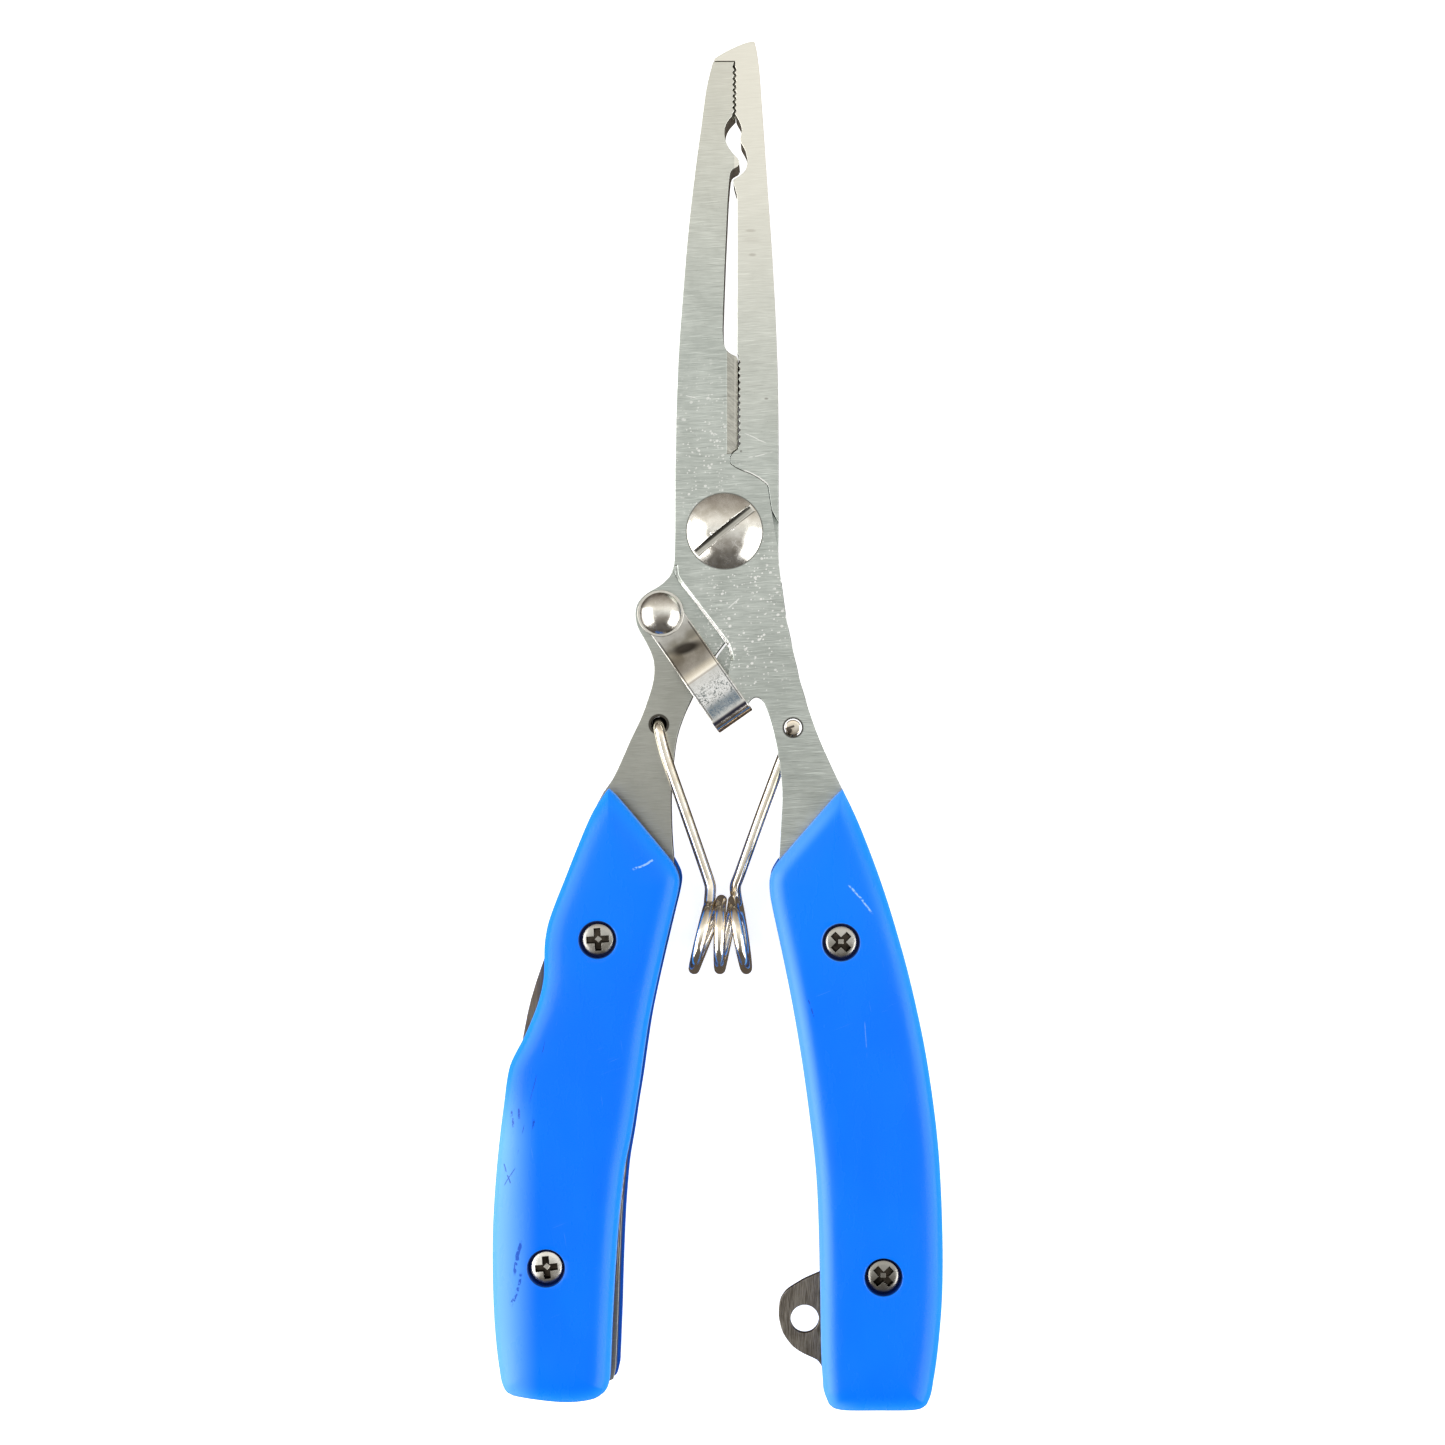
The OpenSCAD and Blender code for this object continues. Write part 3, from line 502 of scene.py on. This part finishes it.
def grip_plastic():
    """Moulded plastic: nearly even blue, with a fine orange-peel, painted light and shade on its borders,
    walls and screw wells, and scattered scratches.
    """
    look = Look("blue_grip_look", 0.0, 0.28, 1.42)
    look.bsdf.inputs["Specular IOR Level"].default_value = 0.24
    cloud = look.noise(look.mapped((0.06, 0.045, 0.06)), detail=3, rough=0.5)
    base = look.mix(look.span(cloud, 0.3, 0.7), (0.001, 0.150, 0.93), (0.002, 0.168, 0.98))
    base = grip_painted_light(look, base)
    hair_a = look.noise(look.mapped((0.12, 7, 0.12), turn=22), detail=2)
    hair_b = look.noise(look.mapped((0.15, 8, 0.15), turn=-80, shift=(5, 2, 0)), detail=2)
    patchy = look.noise(look.mapped((0.05, 0.05, 0.05), shift=(3, 9, 0)))
    hairs = look.math("MAXIMUM", look.span(hair_a, 0.735, 0.78), look.span(hair_b, 0.735, 0.78))
    hairs = look.product(hairs, look.span(patchy, 0.5, 0.62))
    base = look.coat(base, hairs, 0.45, (0.10, 0.30, 0.95))
    bright = look.total(look.mark((-14.2, -53.2), (-10.6, -51.4), 0.2, 2.2, 0.58),
                        look.mark((19.2, -55.2), (23.4, -60.2), 0.16, 2.0, 0.55),
                        look.product(look.mark((22.0, -76.5), (22.3, -82.5), 0.06, 1.2, 0.6), 0.3))
    base = look.mix(look.math("MINIMUM", bright, 0.6), base, (0.45, 0.70, 1.0))
    dark = look.total(look.mark((-33.2, -90.6), (-32.6, -93.4), 0.26, 2.2, 0.55),
                      look.mark((-32.0, -90.2), (-31.7, -92.0), 0.22, 2.2, 0.55),
                      look.mark((-29.6, -91.8), (-29.4, -93.6), 0.22, 2.2, 0.55),
                      look.mark((-34.4, -98.5), (-32.9, -102.8), 0.13, 1.0, 0.62),
                      look.mark((-34.3, -102.5), (-32.4, -99.3), 0.10, 1.0, 0.62),
                      look.mark((-27.5, -78.5), (-33.2, -102.0), 0.08, 0.5, 0.5),
                      look.mark((-31.6, -110.3), (-32.6, -116.5), 0.34, 1.4, 0.58),
                      look.mark((-31.3, -115.6), (-32.9, -121.5), 0.30, 1.4, 0.58),
                      look.mark((13.2, -73.2), (14.2, -76.2), 0.13, 1.2, 0.62),
                      look.mark((30.4, -72.5), (32.2, -75.0), 0.10, 1.2, 0.62),
                      look.mark((32.5, -82.6), (33.0, -85.0), 0.10, 1.2, 0.62))
    base = look.mix(look.math("MINIMUM", dark, 0.75), base, (0.004, 0.045, 0.42))
    look.colour(base)
    rub = look.noise(look.mapped((0.25, 0.08, 0.25)), detail=4, rough=0.6)
    look.rough(look.total(look.span(rub, 0.3, 0.75, 0.2, 0.34), look.product(hairs, 0.15)))
    peel = look.noise(look.mapped((1.2, 1.2, 1.2)), detail=2)
    scratches = look.total(look.product(hairs, 0.5), bright, dark)
    look.bump(look.math("SUBTRACT", look.product(peel, 0.35), scratches), 0.02, 0.35)
    return look.mat


grip_look = grip_plastic()

LOOKS = {
    "lever": lever_steel, "plate": plate_steel, "blade": blade_steel, "nickel": nickel,
    "polished": polished, "bronze": bronze, "pivot": pivot_look, "screw": screw_look,
    "recess": recess_shade_look, "grip": grip_look, "spring": spring_look,
}
NODE_LOOKS = {
    "jaw_lever_front": "lever", "jaw_lever_rear": "lever", "lanyard_plate": "plate",
    "knife_liner": "plate", "knife_spacer": "plate", "knife_blade": "blade",
    "knife_washers": "bronze", "latch": "polished", "pivot_screw": "pivot",
}


def paint(obj, look):
    obj.data.materials.clear()
    obj.data.materials.append(LOOKS[look])


# ---------------------------------------------------------------------------------------------------
# CAD nodes that stay: clean shading, and edges broken by a small bevel
# ---------------------------------------------------------------------------------------------------

WELD = 0.002


def shade(obj, sharp=None):
    """Smooth shading, with edges kept sharp where the faces meet at more than sharp degrees."""
    obj.data.polygons.foreach_set("use_smooth", [True] * len(obj.data.polygons))
    if sharp:
        obj.data.set_sharp_from_angle(angle=math.radians(sharp))


def add_bevel(obj, width, angle):
    edge = obj.modifiers.new("edge", "BEVEL")
    edge.width = width * MM
    edge.segments = 2
    edge.limit_method = "ANGLE"
    edge.angle_limit = math.radians(angle)
    return edge


def dress(obj, bevel, angle):
    """Drops the CAD shading, joins its triangles into flat faces, and rounds the edges sharper than angle."""
    for name in ("custom_normal", "sharp_edge", "sharp_face"):
        found = obj.data.attributes.get(name)
        if found:
            obj.data.attributes.remove(found)
    shade(obj)
    weld = obj.modifiers.new("weld", "WELD")
    weld.merge_threshold = WELD * MM
    flat = obj.modifiers.new("flat", "DECIMATE")
    flat.decimate_type = "DISSOLVE"
    flat.angle_limit = math.radians(0.5)
    edge = add_bevel(obj, bevel, angle)
    edge.use_clamp_overlap = False
    edge.harden_normals = True
    even = obj.modifiers.new("even", "WEIGHTED_NORMAL")
    even.keep_sharp = True
    even.weight = 60


BEVELS = {"jaw_lever_front": 0.07, "jaw_lever_rear": 0.07, "pivot_screw": 0.09, "latch": 0.14,
          "lanyard_plate": 0.1, "knife_blade": 0.05}
for name, obj in NODES.items():
    kind = "grip" if name.endswith("scale") else "spring" if "spring" in name else "nickel"
    paint(obj, NODE_LOOKS.get(name, kind))
    dress(obj, BEVELS.get(name, 0.08), 12 if name.startswith("jaw_lever") else 32)

# ---------------------------------------------------------------------------------------------------
# Grip scales
# ---------------------------------------------------------------------------------------------------

def inner_outline(node, z):
    """The outer boundary of a CAD node's flat face at height z, in order."""
    bm = bmesh.new()
    bm.from_mesh(NODES[node].data)
    bmesh.ops.remove_doubles(bm, verts=bm.verts, dist=WELD * MM)
    level = PIVOT.z + z * MM
    face_at = [f for f in bm.faces if all(abs(v.co.z - level) < 0.01 * MM for v in f.verts)]
    chosen = set(face_at)
    ends = {}
    for f in face_at:
        for loop in f.loops:
            e = loop.edge
            if sum(1 for g in e.link_faces if g in chosen) == 1:
                ends[loop.vert.index] = (loop.link_loop_next.vert.index, loop.vert.co.copy())
    loops = []
    while ends:
        first = next(iter(ends))
        k, points = first, []
        while k in ends:
            k_next, co = ends.pop(k)
            points.append(((co.x - PIVOT.x) / MM, (co.y - PIVOT.y) / MM))
            k = k_next
        loops.append(np.array(points))
    bm.free()
    loop = max(loops, key=len)
    x, y = loop[:, 0], loop[:, 1]
    area = np.sum(x * np.roll(y, -1) - np.roll(x, -1) * y)
    return loop if area > 0 else loop[::-1]


def through(points, spacing):
    """Smooth curve through the points."""
    p = [np.array(q, float) for q in points]
    out = []
    for k in range(len(p) - 1):
        p0, p1, p2, p3 = p[max(k - 1, 0)], p[k], p[k + 1], p[min(k + 2, len(p) - 1)]
        steps = max(1, round(np.linalg.norm(p2 - p1) / spacing))
        for s in range(steps):
            t = s / steps
            out.append(0.5 * (2 * p1 + (p2 - p0) * t + (2 * p0 - 5 * p1 + 4 * p2 - p3) * t * t
                              + (3 * p1 - p0 - 3 * p2 + p3) * t ** 3))
    out.append(p[-1])
    return out


def lengths_along(path):
    """The length of the path up to each of its points."""
    return np.concatenate([[0], np.cumsum(np.linalg.norm(np.diff(path, axis=0), axis=1))])


def smooth_loop(points, spacing=0.7, corner=24, round_by=0.7):
    """The closed outline with smooth runs resampled, and each corner rounded a little."""
    n = len(points)
    turns = []
    for i in range(n):
        a, b = points[i] - points[i - 1], points[(i + 1) % n] - points[i]
        turns.append(abs(math.degrees(math.atan2(a[0] * b[1] - a[1] * b[0], a @ b))))
    corners = [i for i in range(n) if turns[i] > corner]
    runs = []
    for c, start in enumerate(corners):
        count = (corners[(c + 1) % len(corners)] - start) % n or n
        run = [points[(start + k) % n] for k in range(count + 1)]
        dense = np.array(through(run, spacing))
        walk = lengths_along(dense)
        cut = min(round_by, walk[-1] / 3)
        kept = dense[(walk >= cut) & (walk <= walk[-1] - cut)]
        first, last = [np.array([np.interp(s, walk, dense[:, 0]), np.interp(s, walk, dense[:, 1])])
                       for s in (cut, walk[-1] - cut)]
        runs.append((run[0], first, kept[1:-1] if len(kept) > 2 else kept[:0], last))
    loop = []
    for c, (corner_at, first, inner, last) in enumerate(runs):
        before = runs[c - 1][3]
        for t in (0.25, 0.5, 0.75):
            loop.append((1 - t) ** 2 * before + 2 * t * (1 - t) * corner_at + t * t * first)
        loop.extend([first, *inner, last])
    return np.array(loop)


GRIP_TOP, GRIP_END = -54, -131


def middle_of(y, side):
    """The handle's middle line at a height y."""
    down = GRIP_TOP - y
    if side < 0:
        return -17.5 - 0.13 * down + 0.0004 * down ** 2
    return 15.8 + 0.165 * down - 0.0005 * down ** 2


def edge_distance(points, loop):
    """Distance from each point to the closed outline."""
    a, b = loop, np.roll(loop, -1, axis=0)
    ab = b - a
    ap = points[:, None, :] - a[None]
    t = np.clip((ap * ab).sum(2) / (ab * ab).sum(1), 0, 1)
    return np.linalg.norm(ap - t[..., None] * ab, axis=2).min(1)


HANDLE_H = 7.0
CROWN_W, CROWN_WALL = 8.0, 4.0


def crown(d):
    """Height of the scale's surface at distance d inside its outline."""
    t = np.clip(d / CROWN_W, 0, 1)
    rise = (1 - (1 - t) ** 2.7) ** (1 / 2.3)
    return CROWN_WALL + (HANDLE_H - CROWN_WALL) * rise


def new_object(name, bm):
    mesh = bpy.data.meshes.new(name)
    bmesh.ops.recalc_face_normals(bm, faces=bm.faces)
    bm.to_mesh(mesh)
    bm.free()
    obj = bpy.data.objects.new(name, mesh)
    bpy.context.scene.collection.objects.link(obj)
    return obj


def lathe(name, profile, centre, steps=64):
    """Closed solid of revolution about the Z line through centre, from (radius, z) pairs."""
    bm = bmesh.new()
    rings = []
    for r, z in profile:
        if r == 0:
            rings.append([bm.verts.new(place(centre[0], centre[1], z))])
        else:
            rings.append([bm.verts.new(place(centre[0] + r * math.cos(2 * math.pi * k / steps),
                                             centre[1] + r * math.sin(2 * math.pi * k / steps), z))
                          for k in range(steps)])
    for low, high in zip(rings, rings[1:]):
        for k in range(steps):
            j = (k + 1) % steps
            if len(low) == 1:
                bm.faces.new((low[0], high[k], high[j]))
            elif len(high) == 1:
                bm.faces.new((low[k], high[0], low[j]))
            else:
                bm.faces.new((low[k], high[k], high[j], low[j]))
    return new_object(name, bm)


def cut_out(obj, cutters):
    """Takes the cutters out of obj and applies the result."""
    for cutter in cutters:
        step = obj.modifiers.new("cut", "BOOLEAN")
        step.object = cutter
        step.operation = "DIFFERENCE"
        step.solver = "EXACT"
    bpy.context.view_layer.update()
    result = bpy.data.meshes.new_from_object(obj.evaluated_get(bpy.context.evaluated_depsgraph_get()))
    obj.modifiers.clear()
    obj.data = result
    for cutter in cutters:
        bpy.data.objects.remove(cutter)


RING_STEPS = (0.0, 0.06, 0.16, 0.32, 0.55, 0.85, 1.2, 1.65, 2.2, 2.9)
INNER_STEPS = 7
BORDER_LIGHT_W = 4.2
SINK = HANDLE_H - 1.75
SHANK_R, BORE_R, WELL_R, HEAD_R = 1.3, 2.05, 2.85, 2.46


def make_scale(node, side, z0, screws, face):
    """A crowned scale over the outline of its CAD node. face is 1 in front and -1 at the back."""
    loop = smooth_loop(inner_outline(node, face * z0))
    levels = np.clip(loop[:, 1], GRIP_END, GRIP_TOP)
    centre = np.array([[middle_of(y, side), y] for y in levels])
    inward = centre - loop
    reach = np.linalg.norm(inward, axis=1)[:, None]
    unit = inward / reach
    rings = [loop + unit * d for d in RING_STEPS]
    last = 0.93 * reach
    for k in range(1, INNER_STEPS + 1):
        rings.append(loop + unit * (RING_STEPS[-1] + (last - RING_STEPS[-1]) * k / INNER_STEPS))
    bm = bmesh.new()
    # The edge attribute sets the painted light on the scale's borders.
    edge = bm.verts.layers.float.new("edge")
    layers = [[bm.verts.new(place(x, y, face * z0)) for x, y in loop]]
    for vert in layers[0]:
        vert[edge] = 0.9
    for ring in rings:
        distance = edge_distance(ring, loop)
        layers.append([bm.verts.new(place(x, y, face * z)) for (x, y), z in zip(ring, crown(distance))])
        for vert, d in zip(layers[-1], distance):
            vert[edge] = max(0.0, 1 - d / BORDER_LIGHT_W) ** 1.5
    n = len(loop)
    for low, high in zip(layers, layers[1:]):
        for k in range(n):
            bm.faces.new((low[k], low[(k + 1) % n], high[(k + 1) % n], high[k]))
    bm.edges.ensure_lookup_table()
    for layer in (layers[0], layers[-1]):
        rim = [bm.edges.get((layer[k], layer[(k + 1) % n])) for k in range(n)]
        bmesh.ops.triangle_fill(bm, edges=rim, use_beauty=True)
    scale = new_object(node.replace("scale", "grip"), bm)
    seat = [(BORE_R, SINK)]
    if face > 0:
        seat = [(BORE_R, SINK - 0.8), (SHANK_R, SINK - 0.8), (SHANK_R, SINK)]
    profile = [(0, -0.5), (BORE_R, -0.5), *seat, (WELL_R, SINK), (WELL_R, HANDLE_H - 0.32),
               (WELL_R + 0.1, HANDLE_H - 0.14), (WELL_R + 0.35, HANDLE_H + 0.02),
               (WELL_R + 0.45, HANDLE_H + 1), (0, HANDLE_H + 1)]
    cut_out(scale, [lathe("cutter", [(r, face * z) for r, z in profile], at) for at in screws])
    shade(scale, 38)
    paint(scale, "grip")
    return scale


SCALES = (("left_front_scale", -1, 3.1, LEFT_SCREWS, 1, "rear_lever"),
          ("left_rear_scale", -1, 2.5, LEFT_SCREWS, -1, "rear_lever"),
          ("right_front_scale", 1, 2.5, RIGHT_SCREWS, 1, "front_lever"),
          ("right_rear_scale", 1, 2.5, RIGHT_SCREWS, -1, "front_lever"))
for node, side, z0, screws, face, body in SCALES:
    scale = make_scale(node, side, z0, screws, face)
    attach(scale, body)
    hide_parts(node)

# ---------------------------------------------------------------------------------------------------
# Cross-head screws: the front ones and the sleeve nuts behind them
# ---------------------------------------------------------------------------------------------------

def cross_cutters(centre, top, face, turn):
    """Four tapered arms round a small pyramid, as a cross-head driver leaves them."""
    def wedge(angle, wide, narrow, long_top, long_low, depth):
        bm = bmesh.new()
        c, s = math.cos(math.radians(angle)), math.sin(math.radians(angle))
        rows = []
        for z, half_l, half_w in ((top + 0.6, long_top, wide), (top - depth, long_low, narrow)):
            rows.append([bm.verts.new(place(centre[0] + u * half_l * c - v * half_w * s,
                                            centre[1] + u * half_l * s + v * half_w * c, face * z))
                         for u, v in ((1, 1), (-1, 1), (-1, -1), (1, -1))])
        for k in range(4):
            bm.faces.new((rows[0][k], rows[0][(k + 1) % 4], rows[1][(k + 1) % 4], rows[1][k]))
        bm.faces.new(rows[0])
        bm.faces.new(rows[1])
        return new_object("cross_cutter", bm)

    return [wedge(turn, 0.66, 0.42, 2.08, 1.5, 0.8), wedge(turn + 90, 0.65, 0.43, 2.06, 1.52, 0.83),
            wedge(turn + 45, 1.0, 0.35, 1.0, 0.35, 0.9)]


def make_head(node, centre, turn, face):
    """A low round head in its sunk seat, with painted shade in its cross recess."""
    low, side, top = SINK, SINK + 0.98, SINK + 1.3
    ball = (HEAD_R ** 2 + (top - side) ** 2) / (2 * (top - side))
    profile = [(0, low - 1.2), (1.2, low - 1.2), (1.2, low), (HEAD_R - 0.06, low), (HEAD_R, low + 0.06),
               (HEAD_R, side - 0.16), (HEAD_R - 0.05, side - 0.05), (HEAD_R - 0.16, side)]
    for k in range(1, 8):
        r = (HEAD_R - 0.16) * (1 - k / 8)
        profile.append((r, math.sqrt(ball ** 2 - r ** 2) - ball + top))
    profile.append((0, top))
    head = lathe(node + "_head", [(r, face * z) for r, z in profile], centre, 48)
    cut_out(head, cross_cutters(centre, top, face, turn))
    paint(head, "screw")
    # The second material, painted shade, goes on the faces inside the cross recess.
    head.data.materials.append(LOOKS["recess"])
    middle = place(*centre)
    for poly in head.data.polygons:
        flat = math.hypot(poly.center.x - middle.x, poly.center.y - middle.y) / MM
        z = face * (poly.center.z - PIVOT.z) / MM
        dome = math.sqrt(ball ** 2 - min(flat, HEAD_R) ** 2) - ball + top
        in_cross = 0.5 < flat < 2.1 and low + 0.1 < z < dome - 0.04
        poly.material_index = int(in_cross)
    shade(head, 30)
    add_bevel(head, 0.05, 30)
    return head


HEADS = (("left_upper", LEFT_SCREWS[0], 4, "rear_lever"),
         ("left_lower", LEFT_SCREWS[1], 6, "rear_lever"),
         ("right_upper", RIGHT_SCREWS[0], 45, "front_lever"),
         ("right_lower", RIGHT_SCREWS[1], 43, "front_lever"))
NUT_TURN = 20
for name, centre, turn, body in HEADS:
    for kind, face in (("screw", 1), ("nut", -1)):
        head = make_head(f"{name}_{kind}", centre, turn if face > 0 else NUT_TURN, face)
        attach(head, body)
        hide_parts(f"{name}_{kind}")

# ---------------------------------------------------------------------------------------------------
# Return spring: one wire that bends at its coil
# ---------------------------------------------------------------------------------------------------

WIRE_D, COIL_D, TURNS = 1.8, 12.6, 3
COIL_AT = (-0.2, -63.9)
COIL_R = (COIL_D - WIRE_D) / 2
TOP_X = (-2.3, -0.6, 1.35, 1.75)  # where the turns meet at the top, with the coil's two ends
BOTTOM_X = (-4.9, -0.8, 3.4)
ENTRY = 25  # degrees that each leg takes up of its turn
LEG_Z = WIRE_D / 2 + 0.1


def coil_point(a):
    """A point on the coil: each turn goes down in front and comes up behind, wider apart at the bottom."""
    c, s = math.cos(math.radians(a)), math.sin(math.radians(a))
    turn = int(a // 360)
    top = TOP_X[turn] if a % 360 < 180 else TOP_X[turn + 1]
    return (top + (BOTTOM_X[turn] - top) * (1 - c) / 2, COIL_AT[1] + COIL_R * c, COIL_R * s)


left_leg = [(*LEFT_HOLE, -2.2), (*LEFT_HOLE, -0.5), (-10.5, -30.9, 0.5), (-10.25, -32, LEG_Z),
            (-9.2, -36, LEG_Z), (-6, -45.2, LEG_Z), (-3.0, -53.9, LEG_Z), (-2.6, -55.1, LEG_Z),
            (-2.3, -56.2, 1.15), (-2.3, -57.2, 1.45)]
right_leg = [(*RIGHT_HOLE, 2.4), (*RIGHT_HOLE, 0.7), (10.7, -31.4, -0.5), (10.4, -32.4, -LEG_Z),
             (8.6, -37.1, -LEG_Z), (5.7, -44.9, -LEG_Z), (2.9, -52.7, -LEG_Z), (2.1, -54.9, -1.1),
             (1.6, -56.2, -1.3), (1.6, -57.4, -1.75)]
coil = [coil_point(a) for a in range(ENTRY, 360 * TURNS - ENTRY + 1, 10)]
wire_path = through(left_leg + coil + right_leg[::-1], 0.45)


def tube(name, path, radius, sides=20):
    """Round wire along the path, with its two ends swelled a little, as they are when they are pinched."""
    n = len(path)
    tangents = [path[min(i + 1, n - 1)] - path[max(i - 1, 0)] for i in range(n)]
    tangents = [t / np.linalg.norm(t) for t in tangents]
    side = np.cross(tangents[0], (0, 1, 0))
    if np.linalg.norm(side) < 0.1:
        side = np.cross(tangents[0], (1, 0, 0))
    walk = lengths_along(path)
    bm = bmesh.new()
    rings = []
    for i, (p, t) in enumerate(zip(path, tangents)):
        swell = 1 + 0.38 * max(0.0, 1 - min(walk[i], walk[-1] - walk[i]) / 1.1) ** 0.5
        side = side - (side @ t) * t
        side = side / np.linalg.norm(side)
        up = np.cross(t, side)
        shrink = [(1, 0)]
        if i == 0:
            shrink = [(0.55, -0.12), (0.85, -0.06), (1, 0)]
        if i == n - 1:
            shrink = [(1, 0), (0.85, 0.06), (0.55, 0.12)]
        for share, ahead in shrink:
            ring = []
            for k in range(sides):
                a = 2 * math.pi * k / sides
                q = p + t * ahead + radius * swell * share * (math.cos(a) * side + math.sin(a) * up)
                ring.append(bm.verts.new(place(*q)))
            rings.append(ring)
    for low, high in zip(rings, rings[1:]):
        for k in range(sides):
            bm.faces.new((low[k], low[(k + 1) % sides], high[(k + 1) % sides], high[k]))
    bm.faces.new(rings[0][::-1])
    bm.faces.new(rings[-1])
    obj = new_object(name, bm)
    shade(obj)
    return obj


spring = tube("return_spring", wire_path, WIRE_D / 2)
paint(spring, "spring")
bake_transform(spring)
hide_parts("spring_left_half", "spring_right_half")

# ---------------------------------------------------------------------------------------------------
# Camera, floor and light
# ---------------------------------------------------------------------------------------------------

VIEW_CENTRE = (-0.3, -30.2)
VIEW_PLANE, VIEW_HEIGHT, VIEW_WIDTH, VIEW_ASIDE = 3.0, 305.0, 227.6, 12.0
camera = bpy.data.objects.new("camera", bpy.data.cameras.new("camera"))
camera.location = place(VIEW_CENTRE[0] + VIEW_ASIDE, VIEW_CENTRE[1], VIEW_PLANE + VIEW_HEIGHT)
camera.data.shift_x = -VIEW_ASIDE / VIEW_WIDTH
camera.data.sensor_width = 36
camera.data.lens = 36 * VIEW_HEIGHT / VIEW_WIDTH
camera.data.clip_start = 0.01
bpy.context.scene.collection.objects.link(camera)
bpy.context.scene.camera = camera

bm = bmesh.new()
bmesh.ops.create_grid(bm, x_segments=8, y_segments=8, size=1.5)
floor = new_object("floor", bm)
floor.location = (0, 0, -0.0004)
floor_look = Look("floor_look", 0.0, 0.7)
speck = floor_look.noise(floor_look.mapped((0.02, 0.02, 0.02)), detail=2)
floor_look.colour(floor_look.mix(speck, (0.88, 0.88, 0.88), (0.9, 0.9, 0.9)))
floor_look.bsdf.inputs["Specular IOR Level"].default_value = 0.1
floor_look.bsdf.inputs["Emission Color"].default_value = (1, 1, 1, 1)
floor_look.bsdf.inputs["Emission Strength"].default_value = 0.75
floor.data.materials.append(floor_look.mat)
floor.visible_glossy = False


def softbox(name, at, size, power, tint):
    light = bpy.data.lights.new(name, "AREA")
    light.shape = "RECTANGLE"
    light.size, light.size_y = size
    light.energy = power
    light.color = tint
    obj = bpy.data.objects.new(name, light)
    obj.location = at
    target = Vector((0, 0.02, 0))
    obj.rotation_euler = (target - obj.location).to_track_quat("-Z", "Y").to_euler()
    bpy.context.scene.collection.objects.link(obj)


softbox("left_window", (-1.05, -0.18, 0.62), (1.3, 1.0), 15, (1.0, 0.99, 0.97))
softbox("right_window", (1.0, -0.35, 0.60), (1.2, 0.85), 11, (0.98, 0.99, 1.0))

# Light from all round: bands of white and grey from one side to the other, and brown below.
SKY = ((0.15, (0.13, 0.12, 0.11)), (0.36, (0.38, 0.36, 0.33)), (0.47, (0.74, 0.735, 0.71)),
       (0.58, (1.02, 1.03, 1.0)), (0.68, (1.3, 1.27, 1.2)), (0.80, (0.75, 0.71, 0.64)),
       (0.95, (0.42, 0.38, 0.34)))
world = bpy.data.worlds.new("studio")
bpy.context.scene.world = world
world.use_nodes = True
sky = Nodes(world.node_tree)
direction = sky.add("ShaderNodeTexCoord").outputs["Generated"]
ramp = sky.add("ShaderNodeValToRGB")
sky.link(sky.span(sky.axis("Y", direction), -1, 1, smooth=False), ramp.inputs[0])
elements = ramp.color_ramp.elements
while len(elements) < len(SKY):
    elements.new(0.5)
for element, (where, tint) in zip(elements, SKY):
    element.position = where
    element.color = (*tint, 1)
above = sky.span(sky.axis("Z", direction), 0.02, 0.34, smooth=False)
light = sky.mix(above, (0.12, 0.10, 0.085), ramp.outputs["Color"])
seen = sky.add("ShaderNodeLightPath").outputs["Is Camera Ray"]
background = sky.add("ShaderNodeBackground")
sky.link(sky.mix(seen, light, (0.95, 0.95, 0.95)), background.inputs["Color"])
background.inputs["Strength"].default_value = 0.9
sky.link(background.outputs[0], sky.add("ShaderNodeOutputWorld").inputs[0])

bpy.context.scene.view_settings.view_transform = "Standard"
